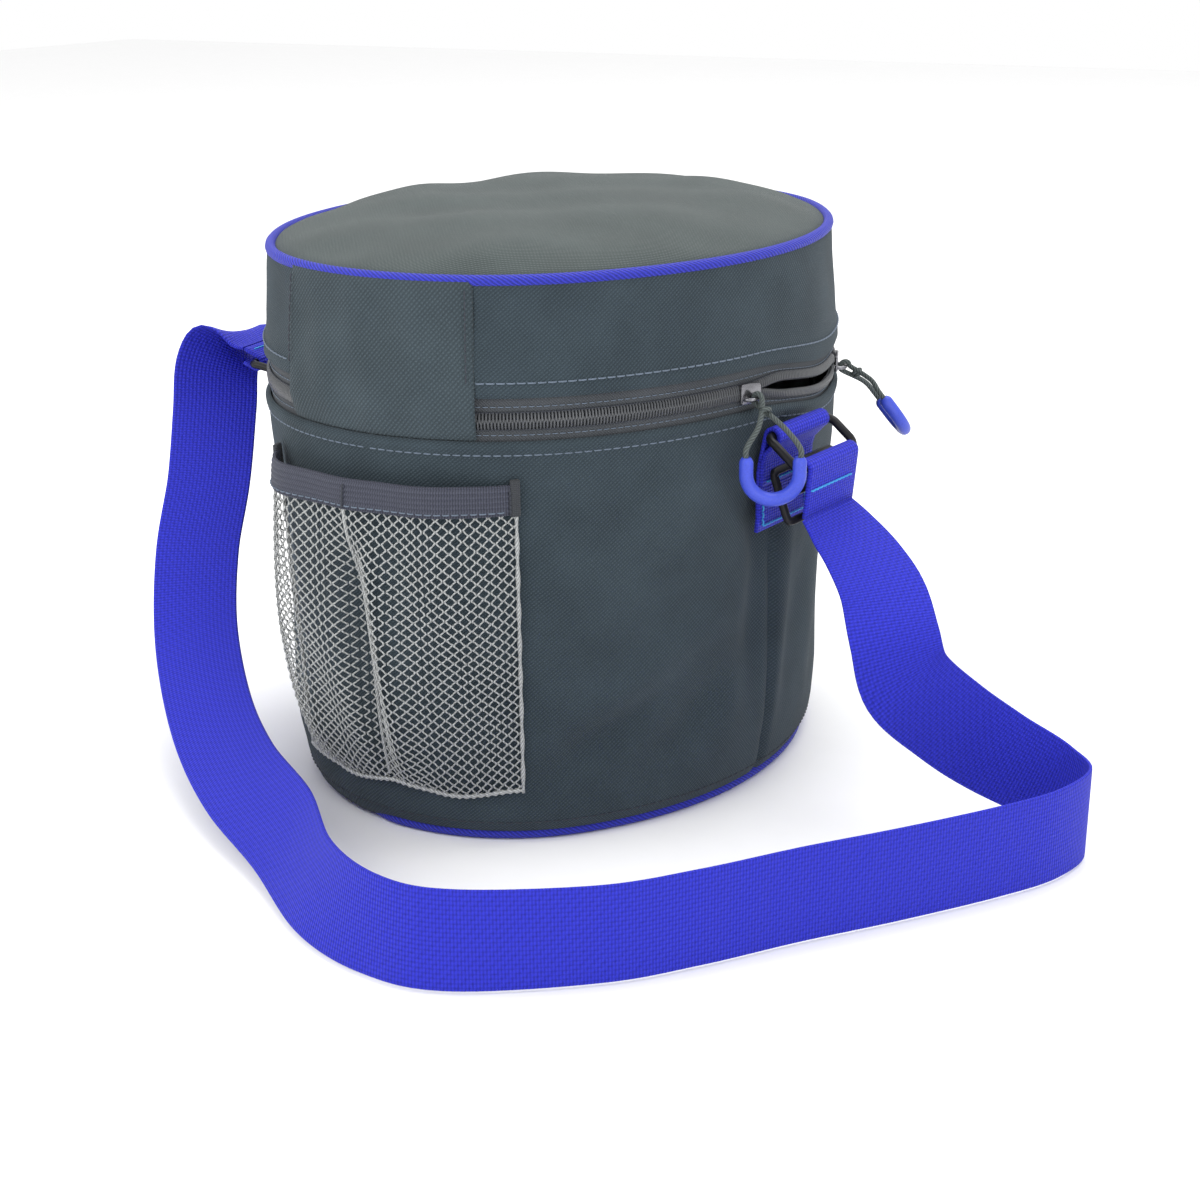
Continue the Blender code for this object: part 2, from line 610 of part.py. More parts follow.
# ---- shoulder strap -------------------------------------------------------------------------
# Middle of the webbing, then the direction of its width; from the right adjuster to the left ring.
STRAP_ROUTE = [
    ((0.1480, -0.0220, 0.1250), (0.15, 0.98, 0.00)),
    ((0.1580, -0.0280, 0.1180), (0.25, 0.95, 0.00)),
    ((0.1720, -0.0360, 0.1060), (0.50, 0.80, 0.10)),
    ((0.1850, -0.0400, 0.0900), (0.60, 0.70, 0.20)),
    ((0.1930, -0.0370, 0.0700), (0.60, 0.60, 0.40)),
    ((0.2030, -0.0260, 0.0510), (0.40, 0.30, 0.80)),
    ((0.2200, -0.0130, 0.0350), (0.10, 0.10, 1.00)),
    ((0.2450, -0.0090, 0.0240), (0.00, 0.00, 1.00)),
    ((0.2620, -0.0200, 0.0210), (0.00, 0.00, 1.00)),
    ((0.2590, -0.0450, 0.0208), (0.00, 0.00, 1.00)),
    ((0.2440, -0.0715, 0.0208), (0.00, 0.00, 1.00)),
    ((0.2168, -0.1088, 0.0208), (0.00, 0.00, 1.00)),
    ((0.1900, -0.1424, 0.0208), (0.00, 0.00, 1.00)),
    ((0.1647, -0.1767, 0.0208), (0.00, 0.00, 1.00)),
    ((0.1386, -0.2058, 0.0208), (0.00, 0.00, 1.00)),
    ((0.0930, -0.2360, 0.0208), (0.00, 0.10, 1.00)),
    ((0.0610, -0.2400, 0.0208), (0.10, 0.15, 1.00)),
    ((0.0250, -0.2270, 0.0210), (0.20, 0.30, 0.90)),
    ((-0.0150, -0.1970, 0.0230), (0.40, 0.50, 0.80)),
    ((-0.0600, -0.1700, 0.0260), (0.60, 0.50, 0.60)),
    ((-0.1000, -0.1400, 0.0350), (0.75, 0.50, 0.40)),
    ((-0.1370, -0.1050, 0.0550), (0.85, 0.50, 0.20)),
    ((-0.1550, -0.0800, 0.0850), (0.86, 0.50, 0.05)),
    ((-0.1620, -0.0600, 0.1150), (0.86, 0.50, 0.00)),
    ((-0.1700, -0.0430, 0.1450), (0.80, 0.60, 0.00)),
    ((-0.1730, -0.0350, 0.1650), (0.60, 0.80, 0.00)),
    ((-0.1690, -0.0270, 0.1790), (0.20, 0.98, 0.00)),
]


def make_strap(route):
    """Webbing from the right strap end to the left one, kept at right angles across its run."""
    middles = smooth_path([point for point, _ in route], 0.009)
    lengths = np.concatenate([[0.0], np.cumsum([(Vector(b[0]) - Vector(a[0])).length
                                                for a, b in zip(route, route[1:])])])
    stations = []
    last = len(middles) - 1
    for i, middle in enumerate(middles):
        run = middles[min(i + 1, last)] - middles[max(i - 1, 0)]
        share = lengths[-1] * i / last
        across = Vector([np.interp(share, lengths, [way[k] for _, way in route])
                         for k in range(3)])
        if 0 < i < last:
            across -= run * (across.dot(run) / run.length_squared)
        stations.append((middle, across.normalized() * WEBBING / 2))
    ribbon("shoulder_strap", stations, WEB_T, "webbing")


# ---- assembly -------------------------------------------------------------------------------
def main():
    make_body()
    lid = pivot("lid_fold", (0.0, HINGE_Y, HINGE_Z))
    make_lid(lid)
    make_zip(lid)
    make_pocket()
    grip_side = Vector((0.865, 0.502, 0.0))
    bar, normal, along = make_slider(1, SLIDER_DEG[0])
    make_pull(1, bar, normal, along, grip_side, (0.0160, -0.0089), 0.0203, 0.0)
    bar, normal, along = make_slider(2, SLIDER_DEG[1])
    make_pull(2, bar, normal, along, along, (0.0170, 0.0), 0.0150, math.radians(38))
    right = Anchor("right", -ANCHOR_DEG)
    make_tab(right)
    bar = make_ring(right, RING_SLOPE_DEG)
    start = make_strap_end(right, bar, RIGHT_PULL_DEG, 0.0210, 0.0070)
    make_triglide(right, *TRIGLIDE)
    left = Anchor("left", 180.0 + ANCHOR_DEG)
    make_tab(left)
    bar = make_ring(left, LEFT_RING_SLOPE_DEG)
    end = make_strap_end(left, bar, LEFT_PULL_DEG, 0.0080, 0.0060)
    make_strap(start + STRAP_ROUTE + [(point, -across) for point, across in reversed(end)])


main()
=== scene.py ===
"""Insulated cooler bag: the detailed visual model, standing on a pale floor.

Row frame: metres, +Z up, -Y the pocket and hinge side, +X the side of the right strap anchor.
Texture coordinates are distances in metres, so every weave keeps its real scale.
"""

import math

import bpy
import numpy as np
from mathutils import Matrix, Vector


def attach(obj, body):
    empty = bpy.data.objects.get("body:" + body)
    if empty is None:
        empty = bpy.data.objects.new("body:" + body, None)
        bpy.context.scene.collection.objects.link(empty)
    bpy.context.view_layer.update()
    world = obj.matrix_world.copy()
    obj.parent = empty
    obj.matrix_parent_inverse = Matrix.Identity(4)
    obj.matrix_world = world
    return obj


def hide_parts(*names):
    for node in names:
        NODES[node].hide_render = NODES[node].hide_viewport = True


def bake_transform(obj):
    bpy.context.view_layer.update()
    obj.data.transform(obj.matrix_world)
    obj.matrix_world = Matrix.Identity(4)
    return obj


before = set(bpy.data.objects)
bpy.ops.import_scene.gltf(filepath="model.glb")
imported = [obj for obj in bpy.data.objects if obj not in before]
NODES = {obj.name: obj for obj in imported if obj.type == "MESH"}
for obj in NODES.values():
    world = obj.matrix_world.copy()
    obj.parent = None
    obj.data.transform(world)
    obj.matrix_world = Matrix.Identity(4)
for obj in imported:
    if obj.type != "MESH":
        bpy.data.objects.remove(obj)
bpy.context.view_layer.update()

# ---- dimensions shared with the CAD model ---------------------------------------------------
HALF_X, HALF_Y, END_RADIUS = 0.1165, 0.1410, 0.1010
TOP_Z, RIM_Z, CROWN = 0.240, 0.176, 0.0130
BODY_PROFILE = [(0.0030, -0.0078), (0.0056, -0.0050), (0.012, -0.0024), (0.030, -0.0012),
                (0.075, 0.0000), (0.125, 0.0030), (RIM_Z, 0.0050)]
LID_PROFILE = [(0.188, 0.0056), (0.212, 0.0040), (0.2360, 0.0014), (0.2400, 0.0008)]
SAG, SAG_DEG = 0.0080, (-14.0, 12.0, 45.0, 95.0)
HINGE_DEG, HINGE_Y = 25.0, -0.1475
SLIDER_DEG = (-14.5, 21.5)
SLIDER_Z = 0.1826
ANCHOR_DEG, BAR_OUT, BAR_Z, RING_BAR_R = 6.5, 0.0125, 0.1665, 0.0020
WEBBING, WEB_T = 0.0400, 0.0015
POCKET_DEG, POCKET_TOP, POCKET_LOW = 33.0, 0.1600, 0.0240

# ---- dimensions of the visible detail -------------------------------------------------------
HEM_Z = 0.1940            # lower edge of the lid's side band
ZIP_Z = 0.1848            # middle of the closed zip
STITCH = 0.0030           # length of one stitch
STITCH_PITCH = 0.0040     # from one stitch to the next

# ---- camera ---------------------------------------------------------------------------------
CAMERA_PLACE = Vector((0.45523, -0.74404, 0.37178))
CAMERA_RIGHT = Vector((0.86499, 0.50169, -0.01040))
CAMERA_UP = Vector((-0.15967, 0.29482, 0.94212))
LENS_MM, SENSOR_MM = 58.37, 36.0

SIDE_RADIUS = ((HALF_X ** 2 + (HALF_Y - END_RADIUS) ** 2 - END_RADIUS ** 2)
               / (2 * (HALF_X - END_RADIUS)))
SIDE_CENTRE_X = SIDE_RADIUS - HALF_X
END_CENTRE_Y = HALF_Y - END_RADIUS
JOIN_ANGLE = math.atan2(END_CENTRE_Y, SIDE_CENTRE_X)
UP = np.array((0.0, 0.0, 1.0))


# ---- the oval and its profiles --------------------------------------------------------------
def smooth(t):
    t = np.clip(t, 0.0, 1.0)
    return t * t * (3.0 - 2.0 * t)


def oval(degrees, offset=0.0):
    """Points of the four-arc oval whose outward normals have these angles."""
    angle = np.radians(np.asarray(degrees, float))
    cos_a, sin_a = np.cos(angle), np.sin(angle)
    side = np.abs(cos_a) > math.cos(JOIN_ANGLE)
    x = np.where(side, (SIDE_RADIUS + offset) * cos_a - np.sign(cos_a) * SIDE_CENTRE_X,
                 (END_RADIUS + offset) * cos_a)
    y = np.where(side, (SIDE_RADIUS + offset) * sin_a,
                 (END_RADIUS + offset) * sin_a + np.sign(sin_a) * END_CENTRE_Y)
    return x, y


def normals(degrees):
    angle = np.radians(np.asarray(degrees, float))
    return np.stack([np.cos(angle), np.sin(angle), np.zeros_like(angle)], -1)


def run_length(degrees):
    """Distance along the outline from its first angle."""
    x, y = oval(degrees)
    return np.concatenate([[0.0], np.cumsum(np.hypot(np.diff(x), np.diff(y)))])


def profile(points, z):
    """Offset from the oval at a height, between (height, offset) points."""
    return np.interp(z, [p[0] for p in points], [p[1] for p in points])


def turn(degrees):
    """The same angle between -180 and 180."""
    return (np.asarray(degrees, float) + 180.0) % 360.0 - 180.0


def droop(degrees):
    """How far the zip line hangs below its level at this angle."""
    t = turn(degrees)
    start, full, leaving, gone = SAG_DEG
    return SAG * smooth(np.minimum((t - start) / (full - start), (gone - t) / (gone - leaving)))


def opened(degrees):
    """1 where the zip is open, between the sliders, 0 where it is closed."""
    t = turn(degrees)
    return smooth(np.minimum((t - SLIDER_DEG[0]) / 9.0, (SLIDER_DEG[1] - t) / 5.0))


# Soft creases of the body: angle, height, lean in degrees per metre, half width in degrees,
# half height, depth.
CREASES = [(-10.5, 0.092, 20.0, 2.6, 0.045, -0.0036), (-3.2, 0.085, 20.0, 2.4, 0.050, 0.0026),
           (2.0, 0.070, 90.0, 3.2, 0.045, -0.0016), (-17.0, 0.060, -60.0, 4.5, 0.045, 0.0014),
           (-12.0, 0.128, -200.0, 3.5, 0.022, -0.0026), (-40.0, 0.046, 480.0, 6.5, 0.024, -0.0044),
           (-33.0, 0.066, 480.0, 6.0, 0.020, 0.0034), (-22.0, 0.050, 300.0, 5.5, 0.022, -0.0034),
           (-48.0, 0.110, 120.0, 9.0, 0.050, 0.0012), (10.0, 0.060, 40.0, 4.0, 0.045, 0.0018),
           (186.5, 0.080, -40.0, 3.0, 0.060, -0.0024), (179.0, 0.085, 30.0, 3.5, 0.060, 0.0022),
           (150.0, 0.060, 50.0, 8.0, 0.045, -0.0020), (118.0, 0.090, -80.0, 9.0, 0.050, 0.0018),
           (92.0, 0.060, 60.0, 8.0, 0.045, -0.0020), (60.0, 0.085, -60.0, 9.0, 0.050, -0.0018),
           (36.0, 0.070, 50.0, 7.0, 0.050, 0.0018), (24.0, 0.090, 40.0, 5.0, 0.050, -0.0016),
           (-150.0, 0.070, 50.0, 8.0, 0.050, -0.0018), (-134.0, 0.050, -40.0, 6.0, 0.040, 0.0016)]


def body_soft(degrees, z):
    """Give of the padded wall: creases and slow swells, none at the rim or the base seam."""
    t = np.asarray(degrees, float)
    give = np.zeros(np.broadcast(t, z).shape)
    for at, height, lean, half, tall, depth in CREASES:
        away = turn(t - at - lean * (z - height))
        give = give + depth * np.exp(-(away / half) ** 2 - ((z - height) / tall) ** 2)
    a = np.radians(t)
    give = give + 0.0007 * np.sin(5 * a + 1.2 + 22 * z) + 0.0005 * np.sin(9 * a - 2.0 - 31 * z)
    give = give + 0.0004 * np.sin(14 * a + 0.4 + 55 * z)
    seam = (np.exp(-(turn(t + ANCHOR_DEG) / 0.60) ** 2)
            + np.exp(-(turn(t - 180.0 - ANCHOR_DEG) / 0.60) ** 2))
    calm = smooth((z - 0.006) / 0.030) * smooth((RIM_Z - 0.004 - z) / 0.030)
    return give * calm - 0.0024 * seam * smooth((RIM_Z - 0.002 - z) / 0.004)


def tucked(degrees):
    """1 where the cloth sinks over the base piping and hides it."""
    t = turn(degrees)
    return smooth((t + 185.0) / 15.0) * smooth((-92.0 - t) / 14.0)


def body_point(degrees, z, lift=0.0):
    """Point of the body's outer cloth; lift stands it off the cloth."""
    t = np.asarray(degrees, float)
    z = np.asarray(z, float)
    share = np.interp(z, [0.05, 0.075, 0.125, RIM_Z], [0.0, 0.3, 0.7, 1.0])
    lip = 0.0015 * np.exp(-((z - RIM_Z + 0.0016) / 0.0014) ** 2)
    x, y = oval(t, profile(BODY_PROFILE, z) + body_soft(t, z) + lip + lift)
    low = 0.0018 * tucked(t) * smooth((0.012 - z) / 0.009)
    return np.stack(np.broadcast_arrays(x, y, z - share * droop(t) - low), -1)


def lid_soft(degrees, z):
    a = np.radians(np.asarray(degrees, float))
    give = 0.0006 * np.sin(4 * a + 0.8 + 60 * z) + 0.0005 * np.sin(7 * a - 1.1 - 45 * z)
    give = give + 0.0004 * np.sin(13 * a + 2.0 + 80 * z)
    return give * smooth((z - HEM_Z - 0.002) / 0.012) * smooth((TOP_Z - 0.003 - z) / 0.012)


def lid_point(degrees, z, lift=0.0):
    """Point of the lid's side cloth."""
    t = np.asarray(degrees, float)
    z = np.asarray(z, float)
    share = np.interp(z, [0.188, 0.212, 0.236], [1.0, 0.4, 0.0])
    x, y = oval(t, profile(LID_PROFILE, z) + lid_soft(t, z) + lift)
    return np.stack(np.broadcast_arrays(x, y, z - share * droop(t)), -1)


def zip_point(degrees, z, out=0.0029):
    t = np.asarray(degrees, float)
    x, y = oval(t, out)
    return np.stack(np.broadcast_arrays(x, y, z - droop(t)), -1)


def pocket_bulge(share, z):
    """How far the net stands off the wall: two lobes with the sewn pleat between them."""
    rise = np.sin(math.pi * np.clip((z - POCKET_LOW) / 0.175, 0.0, 1.0) ** 0.75)
    lobes = 0.0125 * (1.0 - np.abs(share) ** np.where(share < 0, 9.0, 3.0))
    lobes = lobes + 0.0035 * np.exp(-((share + 0.72) / 0.25) ** 2)
    below = smooth((POCKET_TOP - 0.012 - z) / 0.035)
    pleat = 0.0090 * below * np.exp(-((share + 0.12 - 0.9 * (0.16 - z)) / 0.10) ** 2)
    ridge = 0.0042 * below * np.exp(-((share - 0.08 - 0.9 * (0.16 - z)) / 0.09) ** 2)
    slack = 0.0012 * np.sin(11 * share + 60 * z) * (1.0 - share ** 2)
    return 0.0012 + np.maximum(rise, 0.0) * (lobes - pleat + ridge + slack)


def pocket_point(share, z, lift=0.0):
    t = -90.0 + np.asarray(share, float) * POCKET_DEG
    x, y = oval(t, profile(BODY_PROFILE, z) + np.maximum(0.0, body_soft(t, z))
                + pocket_bulge(share, z) + lift)
    return np.stack(np.broadcast_arrays(x, y, np.asarray(z, float)), -1)


# ---- materials ------------------------------------------------------------------------------
class Finish:
    """A Principled material with small helpers for its procedural nodes."""

    def __init__(self, name, roughness, metallic=0.0, sheen=0.0, specular=0.5):
        self.made = bpy.data.materials.new(name)
        self.made.use_nodes = True
        self.tree = self.made.node_tree
        self.shader = self.tree.nodes["Principled BSDF"]
        self.shader.inputs["Roughness"].default_value = roughness
        self.shader.inputs["Metallic"].default_value = metallic
        self.shader.inputs["Specular IOR Level"].default_value = specular
        self.shader.inputs["Sheen Weight"].default_value = sheen
        self.shader.inputs["Sheen Roughness"].default_value = 0.5
        where = self.tree.nodes.new("ShaderNodeTexCoord")
        self.uv = where.outputs["UV"]
        self.object = where.outputs["Object"]
        split = self.tree.nodes.new("ShaderNodeSeparateXYZ")
        self.tree.links.new(self.uv, split.inputs[0])
        self.u, self.v = split.outputs[0], split.outputs[1]

    def math(self, kind, a, b=0.0, c=0.0):
        node = self.tree.nodes.new("ShaderNodeMath")
        node.operation = kind
        for socket, value in zip(node.inputs, (a, b, c)):
            if isinstance(value, (int, float)):
                socket.default_value = value
            else:
                self.tree.links.new(value, socket)
        return node.outputs[0]

    def wave(self, a, pitch, phase=0.0):
        """Sine of a distance with this pitch, from 0 to 1."""
        turned = self.math("MULTIPLY_ADD", a, 2 * math.pi / pitch, phase)
        return self.math("MULTIPLY_ADD", self.math("SINE", turned), 0.5, 0.5)

    def noise(self, scale, detail=3.0, source=None, stretch=None):
        node = self.tree.nodes.new("ShaderNodeTexNoise")
        node.inputs["Scale"].default_value = scale
        node.inputs["Detail"].default_value = detail
        vector = source or self.object
        if stretch:
            mapping = self.tree.nodes.new("ShaderNodeMapping")
            mapping.inputs["Scale"].default_value = stretch
            self.tree.links.new(vector, mapping.inputs[0])
            vector = mapping.outputs[0]
        self.tree.links.new(vector, node.inputs["Vector"])
        return node.outputs["Fac"]

    def ramp(self, value, stops):
        node = self.tree.nodes.new("ShaderNodeValToRGB")
        self.tree.links.new(value, node.inputs[0])
        points = node.color_ramp.elements
        while len(points) < len(stops):
            points.new(0.5)
        for point, (place, colour) in zip(points, stops):
            point.position = place
            point.color = (*colour, 1.0)
        return node.outputs[0]

    def colour(self, output):
        self.tree.links.new(output, self.shader.inputs["Base Color"])

    def bump(self, height, distance, strength=1.0):
        node = self.tree.nodes.new("ShaderNodeBump")
        node.inputs["Distance"].default_value = distance
        node.inputs["Strength"].default_value = strength
        self.tree.links.new(height, node.inputs["Height"])
        self.tree.links.new(node.outputs[0], self.shader.inputs["Normal"])


def shades(colour, low, high):
    """Dark, middle and light tones of a colour."""
    return [tuple(c * low for c in colour), tuple(colour), tuple(c * high for c in colour)]


def cloth(name, colour, pitch, slant, depth, sheen=0.06, spread=(0.72, 1.35)):
    """Woven cloth: ribs at a slant crossed by finer threads, with slow wear and mottling."""
    made = Finish(name, 0.85, sheen=sheen, specular=0.08)
    angle = math.radians(slant)
    across = made.math("ADD", made.math("MULTIPLY", made.u, math.cos(angle)),
                       made.math("MULTIPLY", made.v, math.sin(angle)))
    along = made.math("SUBTRACT", made.math("MULTIPLY", made.v, math.cos(angle)),
                      made.math("MULTIPLY", made.u, math.sin(angle)))
    threads = made.math("MULTIPLY", made.wave(across, pitch), made.math(
        "MULTIPLY_ADD", made.wave(along, pitch * 1.1), 0.70, 0.30))
    fibre = made.noise(2200.0, 2.0)
    mottle = made.noise(38.0, 5.0)
    tone = made.math("ADD", made.math("MULTIPLY", threads, 0.40),
                     made.math("ADD", made.math("MULTIPLY", fibre, 0.30),
                               made.math("MULTIPLY", mottle, 0.40)))
    dark, middle, light = shades(colour, *spread)
    made.colour(made.ramp(tone, [(0.25, dark), (0.52, middle), (0.85, light)]))
    made.bump(made.math("ADD", threads, made.math("MULTIPLY", fibre, 0.5)), depth)
    return made.made


def webbing_cloth(name, colour):
    """Plain-woven strap: a grid of raised threads, its colour darkened in the hollows between them as
    painted shade.
    """
    made = Finish(name, 0.62, sheen=0.03, specular=0.15)
    warp = made.wave(made.u, 0.0018)
    weft = made.wave(made.v, 0.0013)
    swap = made.wave(made.math("ADD", made.u, made.v), 0.0042)
    grid = made.math("MULTIPLY", made.math("MULTIPLY_ADD", warp, 0.6, 0.4),
                     made.math("MULTIPLY_ADD", weft, 0.7, 0.3))
    fibre = made.noise(1600.0, 2.0)
    # Painted shade: the thread grid darkens the colour in the hollows between the raised threads.
    tone = made.math("ADD", made.math("MULTIPLY", grid, 0.65),
                     made.math("ADD", made.math("MULTIPLY", fibre, 0.25),
                               made.math("MULTIPLY", swap, 0.10)))
    dark, middle, light = shades(colour, 0.45, 1.25)
    made.colour(made.ramp(tone, [(0.15, dark), (0.50, middle), (0.95, light)]))
    made.bump(grid, 0.0005)
    return made.made


def ribbed(name, colour, pitch, slant, depth):
    """Corded or ribbed trim whose ribs run at a slant to its length."""
    made = Finish(name, 0.6, sheen=0.05, specular=0.2)
    angle = math.radians(slant)
    across = made.math("ADD", made.math("MULTIPLY", made.u, math.cos(angle)),
                       made.math("MULTIPLY", made.v, math.sin(angle)))
    ribs = made.wave(across, pitch)
    fibre = made.noise(1800.0, 2.0)
    tone = made.math("ADD", made.math("MULTIPLY", ribs, 0.55), made.math("MULTIPLY", fibre, 0.45))
    dark, middle, light = shades(colour, 0.5, 1.35)
    made.colour(made.ramp(tone, [(0.15, dark), (0.5, middle), (0.9, light)]))
    made.bump(ribs, depth)
    return made.made


def plain(name, colour, roughness, metallic=0.0, grain=900.0, depth=0.00005, spread=(0.8, 1.2),
          specular=0.4):
    """Moulded or cast surface with fine grain and handling wear."""
    made = Finish(name, roughness, metallic, specular=specular)
    grain_out = made.noise(grain, 3.0)
    wear = made.noise(70.0, 4.0)
    tone = made.math("ADD", made.math("MULTIPLY", grain_out, 0.5),
                     made.math("MULTIPLY", wear, 0.5))
    dark, middle, light = shades(colour, *spread)
    made.colour(made.ramp(tone, [(0.3, dark), (0.5, middle), (0.75, light)]))
    made.bump(grain_out, depth)
    return made.made


def film(name, colour):
    """Crinkled wipe-clean liner film."""
    made = Finish(name, 0.30, specular=0.6)
    crinkle = made.noise(55.0, 6.0)
    dark, middle, light = shades(colour, 0.75, 1.2)
    made.colour(made.ramp(crinkle, [(0.3, dark), (0.5, middle), (0.7, light)]))
    made.bump(crinkle, 0.0030)
    return made.made


SLATE = (0.038, 0.053, 0.064)
FABRIC = cloth("slate twill", SLATE, 0.0012, -50.0, 0.00026, spread=(0.60, 1.50))
# Painted light: the top cloth is a lighter copy of the slate twill, standing in for the stronger light
# that falls on the top.
FABRIC_TOP_PAINTED_LIGHT = cloth("slate twill top", (0.050, 0.064, 0.063), 0.0012, -50.0, 0.00022, sheen=0.14,
                   spread=(0.75, 1.35))
FABRIC_HINGE = cloth("slate twill hinge", (0.046, 0.062, 0.072), 0.0014, -40.0, 0.00030,
                     spread=(0.60, 1.55))
BINDING = cloth("binding tape", (0.050, 0.054, 0.060), 0.0008, 90.0, 0.0002)
PIPING = ribbed("blue piping", (0.028, 0.034, 0.380), 0.0013, 35.0, 0.00035)
TAPE = cloth("zip tape", (0.064, 0.070, 0.078), 0.0009, 45.0, 0.0002, spread=(0.6, 1.3))
TEETH = plain("zip coil", (0.070, 0.074, 0.080), 0.34)
METAL = plain("dark slider metal", (0.200, 0.200, 0.215), 0.24, 0.9)
CORD = ribbed("braided cord", (0.080, 0.096, 0.094), 0.0011, 38.0, 0.0003)
GRIP = plain("blue grip", (0.040, 0.068, 0.500), 0.42, grain=1500.0)
STRAP = webbing_cloth("blue webbing", (0.023, 0.028, 0.460))
RING = plain("black moulded plastic", (0.008, 0.008, 0.010), 0.34, specular=0.22)
NET = ribbed("silver net", (0.350, 0.360, 0.355), 0.0010, 30.0, 0.0001)
ELASTIC = ribbed("pocket elastic", (0.052, 0.056, 0.078), 0.0011, 0.0, 0.0001)
THREAD = plain("slate thread", (0.110, 0.140, 0.185), 0.6)
THREAD_DARK = plain("dark thread", (0.030, 0.034, 0.045), 0.7)
THREAD_CYAN = plain("cyan thread", (0.030, 0.270, 0.600), 0.6)
LINER = film("silver liner", (0.50, 0.52, 0.54))
FOAM = plain("white foam", (0.78, 0.78, 0.75), 0.85, grain=500.0, depth=0.0004)
FLOOR = plain("pale floor", (0.93, 0.93, 0.93), 0.9, grain=20.0, depth=0.0, spread=(0.99, 1.01))


# ---- mesh building --------------------------------------------------------------------------
class Bundle:
    """Shapes gathered into one mesh, with texture coordinates in metres."""

    def __init__(self):
        self.verts, self.faces, self.corners, self.count = [], [], [], 0

    def add(self, verts, faces, corners):
        self.verts.append(np.asarray(verts, float).reshape(-1, 3))
        self.faces += [tuple(i + self.count for i in face) for face in faces]
        self.corners += corners
        self.count += len(self.verts[-1])

    def grid(self, points, u, v, closed=False, ends=False):
        """Quads over rows of points; u and v are the distances along and across the rows."""
        rows, cols = points.shape[:2]
        faces, corners = [], []
        for r in range(rows - 1):
            for c in range(cols if closed else cols - 1):
                d = (c + 1) % cols
                faces.append((r * cols + c, r * cols + d, (r + 1) * cols + d, (r + 1) * cols + c))
                corners += [(u[c], v[r]), (u[c + 1], v[r]), (u[c + 1], v[r + 1]),
                            (u[c], v[r + 1])]
        if ends:
            faces.append(tuple(reversed(range(cols))))
            faces.append(tuple((rows - 1) * cols + c for c in range(cols)))
            corners += [(u[c], v[0]) for c in reversed(range(cols))]
            corners += [(u[c], v[-1]) for c in range(cols)]
        self.add(points, faces, corners)

    def tube(self, path, radius, sides=8, closed=False, up=None, flat=1.0):
        """Round bar along a path; radius may vary, flat squeezes it along up."""
        path = np.asarray(path, float)
        n = len(path)
        radius = np.broadcast_to(np.asarray(radius, float), (n,))
        if closed:
            run = np.roll(path, -1, 0) - np.roll(path, 1, 0)
        else:
            run = np.gradient(path, axis=0)
        run = run / np.linalg.norm(run, axis=1)[:, None]
        if up is None:
            first = np.eye(3)[np.argmin(np.abs(run[0]))]
            side = [np.cross(run[0], first)]
            for i in range(1, n):
                side.append(side[-1] - run[i] * np.dot(side[-1], run[i]))
            side = np.array([s / np.linalg.norm(s) for s in side])
        else:
            up = np.broadcast_to(np.asarray(up, float), (n, 3))
            side = np.cross(run, up)
            side = side / np.linalg.norm(side, axis=1)[:, None]
        lift = np.cross(side, run)
        angle = 2 * math.pi * np.arange(sides) / sides
        ring = (np.cos(angle)[None, :, None] * side[:, None, :]
                + np.sin(angle)[None, :, None] * lift[:, None, :] * flat)
        points = path[:, None, :] + ring * radius[:, None, None]
        lengths = np.concatenate([[0.0], np.cumsum(np.linalg.norm(np.diff(path, axis=0), axis=1))])
        u = 2 * math.pi * float(radius.mean()) * np.arange(sides + 1) / sides
        if closed:
            points = np.concatenate([points, points[:1]])
            lengths = np.append(lengths, lengths[-1] + np.linalg.norm(path[0] - path[-1]))
        self.grid(points, u, lengths, closed=True, ends=not closed)

    def object(self, name, finish, angle=50.0, weld=False):
        mesh = bpy.data.meshes.new(name)
        mesh.from_pydata(np.concatenate(self.verts).tolist(), [], self.faces)
        layer = mesh.uv_layers.new(name="UVMap")
        layer.data.foreach_set("uv", np.asarray(self.corners, np.float32).ravel())
        mesh.materials.append(finish)
        mesh.update()
        made = bpy.data.objects.new(name, mesh)
        bpy.context.scene.collection.objects.link(made)
        if weld:
            joint = made.modifiers.new("weld", "WELD")
            joint.merge_threshold = 0.00001
            bake(made)
        made.data.shade_smooth()
        made.data.set_sharp_from_angle(angle=math.radians(angle))
        return made


def bake(part):
    """Applies a piece's modifiers to its mesh."""
    bpy.context.view_layer.update()
    shape = part.evaluated_get(bpy.context.evaluated_depsgraph_get())
    mesh = bpy.data.meshes.new_from_object(shape)
    part.modifiers.clear()
    part.data = mesh
    return part


def shell(name, points, finish, thickness=0.0, closed=False, u=None, v=None, side=-1, cap=False):
    """Cloth piece over rows of points, given thickness on one side."""
    bundle = Bundle()
    rows, cols = points.shape[:2]
    if u is None:
        middle = points[rows // 2]
        steps = np.linalg.norm(np.diff(middle, axis=0, append=middle[:1]), axis=1)
        u = np.concatenate([[0.0], np.cumsum(steps)])
    if v is None:
        column = points[:, cols // 2]
        v = np.concatenate([[0.0], np.cumsum(np.linalg.norm(np.diff(column, axis=0), axis=1))])
    bundle.grid(points, u, v, closed=closed)
    if cap:
        middle = len(points[-1]) - 1
        ring = points[-1]
        centre = ring.mean(0)
        verts = np.vstack([ring, centre])
        faces = [(c, (c + 1) % cols, middle + 1) for c in range(cols)]
        corners = []
        for c in range(cols):
            for at in (ring[c], ring[(c + 1) % cols], centre):
                corners.append((at[0], at[1]))
        bundle.add(verts, faces, corners)
    made = bundle.object(name, finish, weld=cap)
    if thickness:
        solid = made.modifiers.new("thickness", "SOLIDIFY")
        solid.thickness = thickness
        solid.offset = side
        bake(made)
    return made


